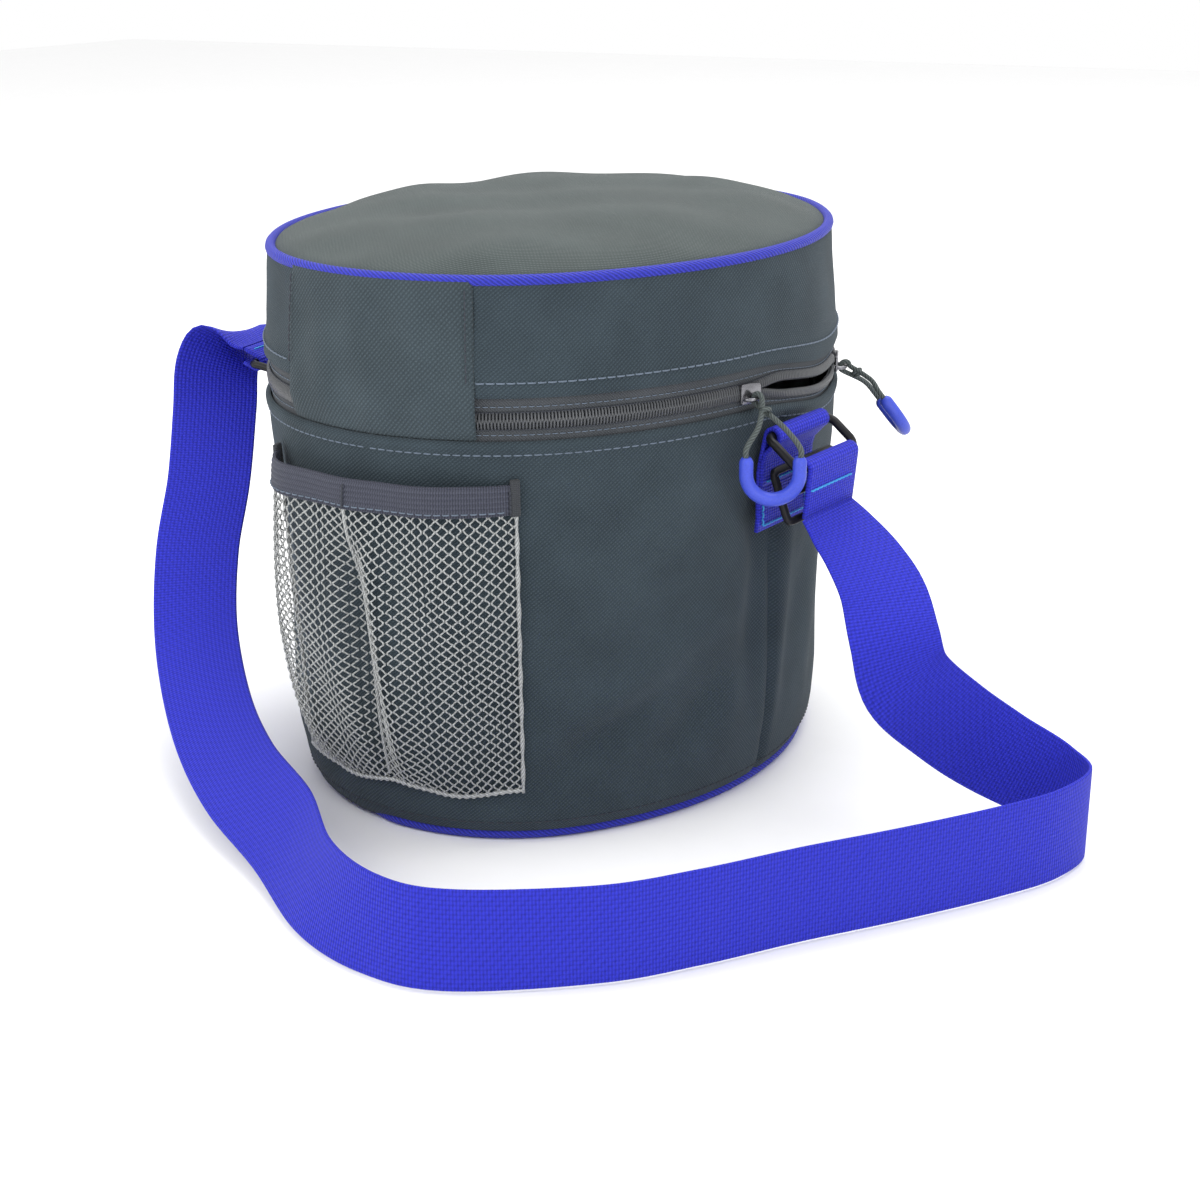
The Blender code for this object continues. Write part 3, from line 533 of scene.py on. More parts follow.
def stitches(name, surface, start, end, finish, body, length=STITCH, pitch=STITCH_PITCH,
             radius=0.00035, lift=0.0003):
    """Row of stitches; surface(share) gives points and outward normals along its line."""
    shares = np.linspace(start, end, 400)
    line, _ = surface(shares)
    lengths = np.concatenate([[0.0], np.cumsum(np.linalg.norm(np.diff(line, axis=0), axis=1))])
    count = max(1, int(lengths[-1] / pitch))
    begins = (np.arange(count) + 0.15) * pitch
    bundle = Bundle()
    for begin in begins:
        at = np.interp(begin + length * np.array([0.0, 0.12, 0.5, 0.88, 1.0]), lengths, shares)
        points, out = surface(at)
        rise = np.array([-0.6, 0.55, 1.0, 0.55, -0.6])[:, None] * lift
        bundle.tube(points + out * rise, radius, sides=6, up=out)
    made = bundle.object(name, finish)
    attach(made, body)
    return made


def smooth_path(points, spacing):
    """Evenly spaced points on a Catmull-Rom curve through the given ones."""
    points = [np.asarray(p, float) for p in points]
    ends = [2 * points[0] - points[1]] + points + [2 * points[-1] - points[-2]]
    dense = []
    for p0, p1, p2, p3 in zip(ends, ends[1:], ends[2:], ends[3:]):
        for t in np.arange(12) / 12:
            dense.append(0.5 * (2 * p1 + (p2 - p0) * t + (2 * p0 - 5 * p1 + 4 * p2 - p3) * t ** 2
                                + (3 * p1 - p0 - 3 * p2 + p3) * t ** 3))
    dense = np.array(dense + [points[-1]])
    lengths = np.concatenate([[0.0], np.cumsum(np.linalg.norm(np.diff(dense, axis=0), axis=1))])
    wanted = np.linspace(0.0, lengths[-1], max(2, round(lengths[-1] / spacing) + 1))
    return np.stack([np.interp(wanted, lengths, dense[:, k]) for k in range(3)], -1)


def webbing_piece(name, middles, halves, along, cap_start=True, cap_end=True):
    """Strap with rounded edges: middles, half-width vectors and distances along it."""
    runs = np.gradient(middles, axis=0)
    runs = runs / np.linalg.norm(runs, axis=1)[:, None]
    sides = halves / np.linalg.norm(halves, axis=1)[:, None]
    faces_out = np.cross(runs, sides)
    size = float(np.linalg.norm(halves[0]))
    half = WEB_T / 2
    across = list(np.linspace(-size + half, size - half, 19))
    section = [(x, half) for x in across]
    section += [(size - half + half * math.sin(a), half * math.cos(a))
                for a in np.radians((30, 60, 90, 120, 150))]
    section += [(x, -half) for x in reversed(across)]
    section += [(-size + half - half * math.sin(a), -half * math.cos(a))
                for a in np.radians((30, 60, 90, 120, 150))]
    section = np.array(section)
    points = (middles[:, None, :] + sides[:, None, :] * section[None, :, :1]
              + faces_out[:, None, :] * section[None, :, 1:])
    u = np.append(section[:, 0], section[0, 0])
    bundle = Bundle()
    bundle.grid(points, u, along, closed=True)
    count = len(section)
    for wanted, row in ((cap_start, 0), (cap_end, len(points) - 1)):
        if wanted:
            face = tuple(range(count)) if row else tuple(reversed(range(count)))
            bundle.add(points[row], [face], [(section[i, 0], along[row]) for i in face])
    return bundle.object(name, STRAP, angle=60.0, weld=True)


def around(steps):
    """Angles once round the oval from the pocket end."""
    return -90.0 + 360.0 * np.arange(steps) / steps


# ---- floor, light, camera -------------------------------------------------------------------
def make_stage():
    bundle = Bundle()
    edge = np.linspace(-4.0, 4.0, 9)
    points = np.stack(np.meshgrid(edge, edge), -1)
    points = np.concatenate([points, np.zeros((9, 9, 1))], -1)
    bundle.grid(points, edge, edge)
    floor = bundle.object("floor", FLOOR)
    floor.location.z = -0.0002
    world = bpy.data.worlds.new("studio")
    world.use_nodes = True
    world.node_tree.nodes["Background"].inputs[0].default_value = (1.0, 1.0, 1.0, 1.0)
    world.node_tree.nodes["Background"].inputs[1].default_value = 1.0
    bpy.context.scene.world = world
    bpy.context.scene.view_settings.view_transform = "Standard"
    for name, place, size, power in (("key", (-0.9, -1.4, 1.3), 1.6, 18.0),
                                     ("fill", (1.6, -1.1, 0.7), 1.4, 12.0),
                                     ("top", (0.1, 0.6, 2.2), 1.8, 34.0)):
        light = bpy.data.lights.new(name, "AREA")
        light.size = size
        light.energy = power
        lamp = bpy.data.objects.new(name, light)
        lamp.location = place
        lamp.rotation_euler = (Vector((0, 0, 0.1)) - Vector(place)).to_track_quat("-Z", "Y").to_euler()
        bpy.context.scene.collection.objects.link(lamp)


def make_camera():
    """Camera at the viewing angle the object is judged from."""
    back = CAMERA_RIGHT.cross(CAMERA_UP)
    data = bpy.data.cameras.new("camera")
    data.lens = LENS_MM
    data.sensor_width = SENSOR_MM
    camera = bpy.data.objects.new("camera", data)
    matrix = Matrix((CAMERA_RIGHT, CAMERA_UP, back)).transposed().to_4x4()
    matrix.translation = CAMERA_PLACE
    camera.matrix_world = matrix
    bpy.context.scene.collection.objects.link(camera)
    bpy.context.scene.camera = camera


# ---- body -----------------------------------------------------------------------------------
def make_body():
    angles = around(288)
    levels = np.concatenate([[0.0030], np.linspace(0.0050, 0.030, 9), np.linspace(0.034, 0.168, 40),
                             [0.171, 0.1735, 0.1752, RIM_Z]])
    rows = [body_point(angles, z) for z in levels]
    for z, offset in ((RIM_Z + 0.0009, 0.0045), (RIM_Z + 0.0009, 0.0038), (RIM_Z, 0.0035),
                      (0.168, 0.0034)):
        rows.append(zip_point(angles, z, offset))
    points = np.array(rows)
    u = np.append(run_length(angles), run_length(np.append(angles, angles[0] + 360))[-1])
    wall = shell("body_cloth", points, FABRIC, closed=True, u=u)
    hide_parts("pocket_side_panel", "back_panel")
    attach(wall, "bag_body")
    base_rows = [np.stack([*oval(angles, offset), np.full(len(angles), z)], -1)
                 for z, offset in ((0.0032, -0.0082), (0.0006, -0.0105), (0.0, -0.0140),
                                   (0.0, -0.05))]
    base = shell("base_cloth", np.array(base_rows), FABRIC, closed=True, cap=True)
    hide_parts("bottom_panel")
    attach(base, "bag_body")
    piping("bottom_cord_piping", 0.0025, -0.0082, "bag_body", "bottom_piping", 0.0023)
    stitches("rim_stitches", lambda t: (body_point(t, RIM_Z - 0.0045), normals(t)),
             -90.0, 270.0, THREAD, "bag_body")
    stitches("base_stitches", lambda t: (body_point(t, 0.0095), normals(t)),
             -90.0, 270.0, THREAD_DARK, "bag_body", radius=0.00025)


def piping(name, z, offset, body, node, radius=0.0025):
    """Cord piping in its ribbed cover, all round the oval."""
    angles = around(320)
    inward = 0.0030 * tucked(angles) if body == "bag_body" else 0.0
    centre = np.stack([*oval(angles, offset - inward), np.full(len(angles), z)], -1)
    bundle = Bundle()
    bundle.tube(centre, radius, sides=12, closed=True, up=UP)
    made = bundle.object(name, PIPING)
    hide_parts(node)
    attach(made, body)
    return made


def make_liner():
    angles = around(160)
    rows = []
    for z in np.linspace(0.163, 0.012, 34):
        crinkle = 0.0008 * np.sin(np.radians(angles) * 9 + 70 * z)
        crinkle = crinkle * math.sin(math.pi * (z - 0.008) / 0.155)
        rows.append(np.stack([*oval(angles, profile(BODY_PROFILE, z) - 0.0098 + crinkle),
                              np.full(len(angles), z)], -1))
    for z, offset in ((0.0096, -0.0165), (0.0088, -0.022), (0.0086, -0.06)):
        rows.append(np.stack([*oval(angles, offset), np.full(len(angles), z)], -1))
    tub = shell("liner_film", np.array(rows), LINER, closed=True, cap=True)
    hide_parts("liner_tub")
    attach(tub, "bag_body")
    for name, node, low, high, out, inner, body in (
            ("rim_tape_binding", "rim_binding", 0.1632, 0.1668, 0.0010, -0.0065, "bag_body"),
            ("lid_tape_binding", "lid_binding", 0.1888, 0.1922, 0.0012, -0.0063, "lid")):
        across = [(0.0, 0.3), (0.15, 0.9), (0.5, 1.0), (0.85, 0.9), (1.0, 0.3), (0.85, 0.0),
                  (0.5, 0.0), (0.15, 0.0)]
        points = np.array([np.stack([*oval(angles, out + (inner - out) * s),
                                     np.full(len(angles), low + (high - low) * h)], -1)
                           for s, h in across + across[:1]])
        band = shell(name, points, BINDING, closed=True)
        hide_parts(node)
        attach(band, body)


def make_padding():
    """Foam between cloth and liner; it gives wherever the cloth does."""
    angles = around(140)
    walls = np.array([body_point(angles, z, -0.0024) * (1, 1, 0) + UP * z
                      for z in np.linspace(0.0085, 0.1625, 40)])
    base = np.array([np.stack([*oval(angles, offset), np.full(len(angles), z)], -1)
                     for z, offset in ((0.0072, -0.0135), (0.0076, -0.018), (0.0076, -0.06))])
    band = np.array([lid_point(angles, z, -0.0030) * (1, 1, 0) + UP * z
                     for z in np.linspace(0.1955, 0.2318, 14)])
    top = np.array([top_point(angles, share, -0.0026) for share in np.linspace(0.97, 0.06, 24)])
    for name, node, points, thickness, body, cap in (
            ("wall_padding", "wall_foam", walls, 0.0018, "bag_body", False),
            ("base_padding", "base_foam", base, 0.0050, "bag_body", True),
            ("lid_band_padding", "lid_side_foam", band, 0.0035, "lid", False),
            ("lid_top_padding", "lid_top_foam", top, 0.0030, "lid", True)):
        made = shell(name, points, FOAM, thickness=thickness, closed=True, cap=cap)
        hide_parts(node)
        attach(made, body)


# ---- lid ------------------------------------------------------------------------------------
def make_lid():
    angles = np.linspace(-90 + HINGE_DEG - 0.6, 270 - HINGE_DEG + 0.6, 250)
    levels = np.concatenate([[HEM_Z + 0.0012], np.linspace(HEM_Z + 0.003, 0.236, 24),
                             [0.2378, 0.2388]])
    rows = [zip_point(angles, HEM_Z + 0.006, 0.0037), zip_point(angles, HEM_Z + 0.0006, 0.0039),
            zip_point(angles, HEM_Z, 0.0046)]
    rows += [lid_point(angles, z, 0.0004 * smooth((HEM_Z + 0.0075 - z) / 0.0008))
             for z in levels]
    rows.append(np.stack([*oval(angles, -0.0008), np.full(len(angles), 0.2394)], -1))
    band = shell("lid_band_cloth", np.array(rows), FABRIC, thickness=0.0007, u=run_length(angles))
    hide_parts("lid_side_band")
    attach(band, "lid")
    stitches("hem_stitches", lambda t: (lid_point(t, HEM_Z + 0.0062, 0.0005), normals(t)),
             -90 + HINGE_DEG, 270 - HINGE_DEG, THREAD, "lid")
    make_hinge_panel()
    make_top()
    piping("top_cord_piping", TOP_Z - 0.0012, -0.0002, "lid", "top_piping", 0.0023)


def make_hinge_panel():
    """The cloth panel that joins the lid to the body over the ends of the zip."""
    half = HINGE_DEG
    angles = np.linspace(-90 - half, -90 + half, 60)
    edge = smooth((half - np.abs(angles + 90)) / 0.8)
    levels = np.linspace(RIM_Z + 0.0002, 0.2388, 44)
    rows = []
    for z in levels:
        a = np.radians(angles)
        soft = 0.0003 * np.sin(30 * a + 55 * z) + 0.0004 * np.sin(17 * a - 90 * z)
        tuck = smooth((z - RIM_Z) / 0.004)
        lift = 0.0002 + 0.0009 * edge * tuck + soft * tuck * smooth((TOP_Z - 0.004 - z) / 0.01)
        offset = np.interp(z, [RIM_Z, 0.188, 0.212, 0.236, 0.24],
                           [0.0030, 0.0058, 0.0040, 0.0014, 0.0008])
        rows.append(np.stack([*oval(angles, offset + lift), np.full(len(angles), z)], -1))
    panel = shell("hinge_cloth", np.array(rows), FABRIC_HINGE, thickness=0.0008,
                  u=run_length(angles))
    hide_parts("hinge_panel")
    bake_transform(panel)
    for name, at in (("hinge_stitches_left", -90 - half + 1.6), ("hinge_stitches_right",
                                                                   -90 + half - 1.6)):
        stitches(name, lambda z, at=at: (
            np.stack([*oval(np.full(len(z), at), profile(LID_PROFILE, z) + 0.0022), z], -1),
            np.repeat(normals([at]), len(z), 0)), 0.2000, 0.2360, THREAD_DARK, "lid",
            radius=0.00028)


def top_point(angles, share, lift=0.0):
    """Point of the crowned top cloth, at a share of the way out from its middle."""
    x, y = oval(angles, -0.0012)
    x, y = x * share, y * share
    z = TOP_Z - 0.0005 + (CROWN + 0.0006) * (1 - share ** 4.2)
    puff = smooth((1 - share) / 0.10)
    z = z - 0.0012 * (1 - puff) * (share > 0.985)
    lines = (0.0007 * np.sin(75 * (0.75 * x + 0.55 * y) + 2.2 * np.sin(14 * y))
             + 0.0005 * np.sin(120 * (0.35 * x - 0.80 * y) + 1.5 * np.sin(20 * x) + 1.0)
             + 0.0003 * np.sin(190 * (0.8 * x + 0.2 * y) + 2.0 * np.sin(31 * y)))
    dip = -0.0024 * np.exp(-((x + 0.03) / 0.035) ** 2 - ((y + 0.055) / 0.022) ** 2)
    return np.stack([x, y, z + puff * (lines + dip) + lift], -1)


def make_top():
    """Crowned, softly wrinkled top cloth."""
    angles = around(200)
    shares = np.concatenate([[1.0, 0.985, 0.96], np.linspace(0.93, 0.03, 42)])
    rows = [top_point(angles, share) for share in shares]
    bundle = Bundle()
    points = np.array(rows)
    bundle.add(points, *planar_faces(points))
    cap = points[-1]
    centre = cap.mean(0)
    faces = [(c, (c + 1) % len(cap), len(cap)) for c in range(len(cap))]
    corners = [(at[0], at[1]) for c in range(len(cap))
               for at in (cap[c], cap[(c + 1) % len(cap)], centre)]
    bundle.add(np.vstack([cap, centre]), faces, corners)
    # The top cloth takes the lighter copy of the twill, with painted light from above.
    top = bundle.object("lid_top_cloth", FABRIC_TOP_PAINTED_LIGHT, weld=True)
    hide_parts("lid_top_panel")
    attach(top, "lid")
    rows = []
    ring = around(160)
    for z in (0.1925, 0.200, 0.212, 0.224, 0.2305):
        rows.append(np.stack([*oval(ring, profile(LID_PROFILE, z) - 0.0094),
                              np.full(len(ring), z)], -1))
    inner_x, inner_y = oval(ring, -0.0095)
    for share in (0.985, 0.9, 0.75, 0.55, 0.3, 0.08):
        rows.append(np.stack([inner_x * share, inner_y * share,
                              np.full(len(ring), 0.2322 + CROWN * (0.9 - share ** 2) * 0.9)], -1))
    lining = shell("lid_liner_film", np.array(rows), LINER, closed=True, cap=True)
    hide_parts("lid_liner")
    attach(lining, "lid")


def planar_faces(points):
    """Faces and flat texture corners of closed rows seen from above."""
    rows, cols = points.shape[:2]
    faces, corners = [], []
    for r in range(rows - 1):
        for c in range(cols):
            d = (c + 1) % cols
            face = ((r, c), (r, d), (r + 1, d), (r + 1, c))
            faces.append(tuple(a * cols + b for a, b in face))
            corners += [(points[a, b, 0], points[a, b, 1]) for a, b in face]
    return faces, corners


# ---- zip ------------------------------------------------------------------------------------
def make_zip():
    slid = np.linspace(-90 + HINGE_DEG - 1.5, 270 - HINGE_DEG + 1.5, 330)
    gap = opened(slid)
    for name, node, body, lows, highs in (
            ("zip_tape_low", "zip_tape_lower", "bag_body", np.full(len(slid), 0.1690),
             ZIP_Z - 0.0004 - 0.0022 * gap),
            ("zip_tape_high", "zip_tape_upper", "lid", ZIP_Z + 0.0004 + 0.0024 * gap,
             np.full(len(slid), HEM_Z + 0.0055))):
        rows = [zip_point(slid, lows + (highs - lows) * s, 0.0027 + 0.0004 * math.sin(math.pi * s))
                for s in np.linspace(0, 1, 7)]
        band = shell(name, np.array(rows), TAPE, thickness=0.0005, u=run_length(slid))
        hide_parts(node)
        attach(band, body)
    lengths = run_length(slid)
    pitch = 0.0013
    for name, node, body, sign, phase in (("zip_teeth_low", "zip_coil_lower", "bag_body", -1, 0.0),
                                          ("zip_teeth_high", "zip_coil_upper", "lid", 1, 0.5)):
        bundle = Bundle()
        for step in range(int(lengths[-1] / pitch) - 1):
            angle = float(np.interp((step + 0.5 + phase) * pitch, lengths, slid))
            spread = float(opened(angle))
            middle = ZIP_Z + sign * (0.0007 + 0.0026 * spread)
            out = normals([angle])[0]
            ends = [zip_point(angle, middle - sign * 0.0013, 0.0038),
                    zip_point(angle, middle - sign * 0.0006, 0.0045),
                    zip_point(angle, middle + sign * 0.0016, 0.0043),
                    zip_point(angle, middle + sign * 0.0026, 0.0034)]
            bundle.tube(ends, [0.00036, 0.00050, 0.00045, 0.00034], sides=6, up=out)
        teeth = bundle.object(name, TEETH)
        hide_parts(node)
        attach(teeth, body)
        stitches(name + "_stitches", lambda t, sign=sign: (
            zip_point(t, ZIP_Z + sign * (0.0034 + 0.0024 * opened(t)), 0.0034), normals(t)),
            slid[0] + 1, slid[-1] - 1, THREAD_DARK, body, 0.0014, 0.0020, 0.0003, 0.0002)
        stitches(name + "_edge", lambda t, sign=sign: (
            zip_point(t, ZIP_Z + sign * (0.0056 + 0.0010 * opened(t)), 0.0032), normals(t)),
            slid[0] + 1, slid[-1] - 1, THREAD, body, 0.0020, 0.0030, 0.00022, 0.00015)


def prism(bundle, outline, low, high, at, along, up, out):
    """Flat plate: outline in (along, up), from low to high along out."""
    outline = np.asarray(outline, float)
    points = np.array([[at + along * x + up * y + out * d for x, y in outline]
                       for d in (low, high)])
    u = np.arange(len(outline) + 1) * 0.002
    bundle.grid(points, u, (0.0, high - low), closed=True, ends=True)


def softened(made, width, segments=2):
    """Rounds a piece's hard edges."""
    rounding = made.modifiers.new("edges", "BEVEL")
    rounding.width = width
    rounding.segments = segments
    rounding.limit_method = "ANGLE"
    bake(made)
    made.data.shade_smooth()
    made.data.set_sharp_from_angle(angle=math.radians(40))
    return made


def make_slider(number, degrees):
    """Slider: two shaped plates, a wedge between them and the bridge over the front plate."""
    out = normals([degrees])[0]
    along = np.array((-out[1], out[0], 0.0))
    at = zip_point(degrees, SLIDER_Z, 0.0029)
    middle = at + UP * 0.0018
    way = 1.0 if number == 1 else -1.0
    front = [(-0.0060, -0.0024), (-0.0050, -0.0036), (0.0010, -0.0043), (0.0054, -0.0043),
             (0.0062, -0.0034), (0.0062, 0.0034), (0.0054, 0.0043), (0.0010, 0.0043),
             (-0.0050, 0.0036), (-0.0060, 0.0024)]
    front = [(x * -way, y) for x, y in front]
    bundle = Bundle()
    prism(bundle, front, 0.0020, 0.0032, middle, along, UP, out)
    prism(bundle, front, -0.0030, -0.0020, middle, along, UP, out)
    wedge = [(-0.0018, -0.0008), (0.0018, -0.0022), (0.0018, 0.0022), (-0.0018, 0.0008)]
    wedge = [(x * -way - 0.0038 * way, y) for x, y in wedge]
    prism(bundle, wedge, -0.0022, 0.0022, middle, along, UP, out)
    for sign in (-1, 1):
        lip = [(-0.0052, 0.0035 * sign), (0.0057, 0.0043 * sign), (0.0057, 0.0034 * sign),
               (-0.0052, 0.0027 * sign)]
        prism(bundle, [(x * -way, y) for x, y in lip], 0.0012, 0.0030, middle, along, UP, out)
    made = softened(bundle.object(f"slider_{number}_plates", METAL), 0.00045)
    bar = at + out * 0.0065
    bridge = Bundle()
    foot = at + out * 0.0026
    arch = smooth_path([foot - along * 0.0046, foot - along * 0.0044 + out * 0.0020,
                        bar - along * 0.0028, bar, bar + along * 0.0028,
                        foot + along * 0.0044 + out * 0.0020, foot + along * 0.0046], 0.0006)
    bridge.tube(arch, 0.0008, sides=10, up=UP)
    bow = bridge.object(f"slider_{number}_bridge", METAL)
    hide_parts(f"slider_{number}_body")
    for piece in (made, bow):
        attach(piece, f"slider_{number}")
    return bar, out, along


def make_pull(number, bar, normal, along, side, reach, drop, lean):
    """Braided cord looped round the bridge, knotted, with a U-shaped grip on its two ends."""
    down = -UP
    wrap, half = 0.0021, 0.0108
    top = bar + normal * reach[0] + along * reach[1] + down * drop
    tip = down * math.cos(lean) + normal * math.sin(lean)
    ends = [top - side * half, top + side * half]
    loop = [bar + (normal * math.cos(a) - down * math.sin(a)) * wrap
            for a in np.radians((0, 45, 90, 135, 180))]

    def between(a, b, share):
        return a + (b - a) * share

    out_leg = [ends[0] + tip * 0.002, ends[0] - tip * 0.004,
               between(loop[0], ends[0], 0.55) + normal * 0.0025 - tip * 0.002,
               between(loop[0], ends[0], 0.16) + normal * 0.0014]
    in_leg = [loop[-1] + down * 0.0020 + normal * 0.0007,
              between(loop[-1], ends[1], 0.55) + normal * 0.0020 - tip * 0.002,
              ends[1] - tip * 0.004, ends[1] + tip * 0.002]
    path = smooth_path(out_leg + loop + in_leg, 0.0008)
    bundle = Bundle()
    bundle.tube(path, 0.00115, sides=10)
    centre = between(loop[0], top, 0.17) + normal * 0.0008
    run = (top - loop[0]) / np.linalg.norm(top - loop[0])
    first = np.cross(run, normal)
    first = first / np.linalg.norm(first)
    second = np.cross(run, first)
    turns = np.linspace(0, 2 * math.pi * 1.6, 40)
    knot = np.array([centre + run * (0.0014 * a / 5 - 0.001) + (first * math.cos(a) * 0.0019
                    + second * math.sin(a) * 0.0016) for a in turns])
    bundle.tube(knot, 0.0010, sides=8)
    cord = bundle.object(f"pull_{number}_braid", CORD)
    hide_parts(f"pull_{number}_cord")
    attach(cord, f"pull_{number}")
    bend = [top + tip * 0.0065 - side * half * math.cos(a) + tip * half * math.sin(a)
            for a in np.linspace(0, math.pi, 25)]
    line = smooth_path([ends[0] - tip * 0.0004, ends[0] + tip * 0.003] + bend
                       + [ends[1] + tip * 0.003, ends[1] - tip * 0.0004], 0.0009)
    share = np.linspace(0, 1, len(line))
    lip = np.minimum(share, 1 - share) * len(line) * 0.0009
    radius = 0.0018 + 0.0011 * np.sqrt(smooth(lip / 0.0022))
    grip = Bundle()
    grip.tube(line, radius, sides=16)
    made = grip.object(f"pull_{number}_moulded_grip", GRIP)
    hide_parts(f"pull_{number}_grip")
    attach(made, f"pull_{number}")


# ---- pocket ---------------------------------------------------------------------------------
def make_pocket():
    """Knitted net: zigzag strands that meet their neighbours at every knot."""
    half = math.radians(POCKET_DEG) * (END_RADIUS + 0.012)
    cell_w, cell_h = 0.0054, 0.0043
    strands = int(2 * half * 1.06 / (cell_w / 2))
    low, high = POCKET_LOW + 0.001, POCKET_TOP - 0.009
    heights = np.arange(low, high, 0.00057)
    bundle = Bundle()
    for k in range(strands + 1):
        base = -1.0 + 2.0 * k / strands
        phase = (heights - low) / cell_h * 2 * math.pi + math.pi * (k % 2)
        zig = np.arcsin(0.96 * np.sin(phase)) / (math.pi / 2)
        share = base + zig * 0.97 / strands
        bunch = 0.0018 * np.sin(7.0 * base + 1.0) * np.clip(1 - (heights - low) / 0.02, 0, 1)
        share = np.clip(share, -1.0, 1.0)
        z = heights + 0.0006 * np.sin(heights * 70 + base * 5) + bunch
        points = pocket_point(share, z)
        out = normals(-90.0 + share * POCKET_DEG)
        points = points + out * (0.00022 * np.cos(phase + k))[:, None]
        radius = 0.00033 + 0.00020 * np.abs(np.sin(phase)) ** 6
        bundle.tube(points, radius, sides=5, up=out)
    net = bundle.object("pocket_net", NET, angle=80.0)
    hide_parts("pocket_mesh")
    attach(net, "bag_body")
    bundle = Bundle()
    for share in (-1.0, 1.0):
        z = np.linspace(low, high, 90)
        points = pocket_point(np.full(90, share), z) + normals(
            np.full(90, -90.0 + share * POCKET_DEG)) * 0.0003
        bundle.tube(points, 0.0008 + 0.0002 * np.sin(z * 4000), sides=6)
    z = np.linspace(low + 0.004, high, 80)
    share = 0.9 * (0.16 - z) - 0.12
    bundle.tube(pocket_point(share, z, 0.0002), 0.0007, sides=6)
    share = np.linspace(-1, 1, 160)
    z = low + 0.0018 * np.sin(7.0 * share + 1.0) - 0.0006
    bundle.tube(pocket_point(share, z, 0.0004), 0.0009 + 0.0003 * np.sin(share * 120), sides=6)
    edge = bundle.object("pocket_net_edge", NET)
    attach(edge, "bag_body")
    make_elastic()


def make_elastic():
    low, high = POCKET_TOP - 0.0122, POCKET_TOP
    shares = np.linspace(-1.0, 1.0, 120)
    rows = []
    steps = np.linspace(0, 1, 49)
    for s in steps:
        rib = 0.00035 * math.cos(2 * math.pi * 6 * s) + 0.0007 * math.sin(math.pi * s) ** 0.4
        rows.append(pocket_point(shares, low + (high - low) * s, 0.0007 + rib))
    band = shell("pocket_elastic_band", np.array(rows), ELASTIC, thickness=0.0012)
    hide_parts("pocket_elastic")
    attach(band, "bag_body")
    stitches("elastic_stitches", lambda s: (pocket_point(s, np.full(len(s), low + 0.0016), 0.0016),
                                            normals(-90.0 + s * POCKET_DEG)),
             -0.97, 0.97, THREAD, "bag_body", 0.0024, 0.0036, 0.0003)
    for number, share in enumerate((-0.965, -0.10, 0.965)):
        stitches(f"elastic_tack_{number}", lambda z, share=share: (
            pocket_point(np.full(len(z), share), z, 0.0018),
            normals(np.full(len(z), -90.0 + share * POCKET_DEG))),
            low + 0.0006, high - 0.0006, THREAD_DARK, "bag_body", 0.0016, 0.0019, 0.0004)
    for number, share in enumerate((-1.0, 1.0)):
        shares = share + np.linspace(-0.028, 0.028, 8)
        rows = [pocket_point(np.clip(shares, -1.03, 1.03), z, 0.0022)
                for z in np.linspace(low - 0.0005, high + 0.0022, 12)]
        tab = shell(f"pocket_corner_tab_{number}", np.array(rows), BINDING, thickness=0.0018)
        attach(tab, "bag_body")


# ---- strap anchors --------------------------------------------------------------------------
class Anchor:
    """Frame of one strap anchor: distances outward from the outline, along it, and up."""

    def __init__(self, side, degrees):
        self.side, self.body = side, f"ring_{side}"
        self.root = np.array([*oval(degrees), 0.0])
        self.out = normals([degrees])[0]
        self.along = np.array((-self.out[1], self.out[0], 0.0))

    def at(self, out, z, along=0.0):
        return self.root + self.out * out + self.along * along + UP * z

    def webbing(self, name, path, width, body):
        """Strap along a path of (outward, z) points, centred on the anchor."""
        path = np.asarray(path, float)
        lengths = np.concatenate([[0.0], np.cumsum(np.hypot(*np.diff(path, axis=0).T))])
        columns = np.linspace(-width / 2, width / 2, 21)
        rows = np.array([[self.at(p[0], p[1], c) for c in columns] for p in path])
        made = shell(name, rows, STRAP, thickness=WEB_T, u=columns, v=lengths, side=0)
        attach(made, body)
        return made

    def stitch_line(self, name, path, finish, body, lift=0.0004, radius=0.0004):
        """Stitches along a path of (outward, z, along) points."""
        path = np.array([self.at(*p) for p in path])

        def surface(shares):
            points = np.stack([np.interp(shares, np.linspace(0, 1, len(path)), path[:, k])
                               for k in range(3)], -1)
            return points, np.repeat(self.out[None], len(points), 0)
        stitches(name, surface, 0.0, 1.0, finish, body, 0.0022, 0.0030, radius, lift)


def arc2(centre, radius, start, end, steps):
    """Points of an arc in a flat plane, from start to end degrees."""
    return [(centre[0] + radius * math.cos(a), centre[1] + radius * math.sin(a))
            for a in np.radians(np.linspace(start, end, steps))]


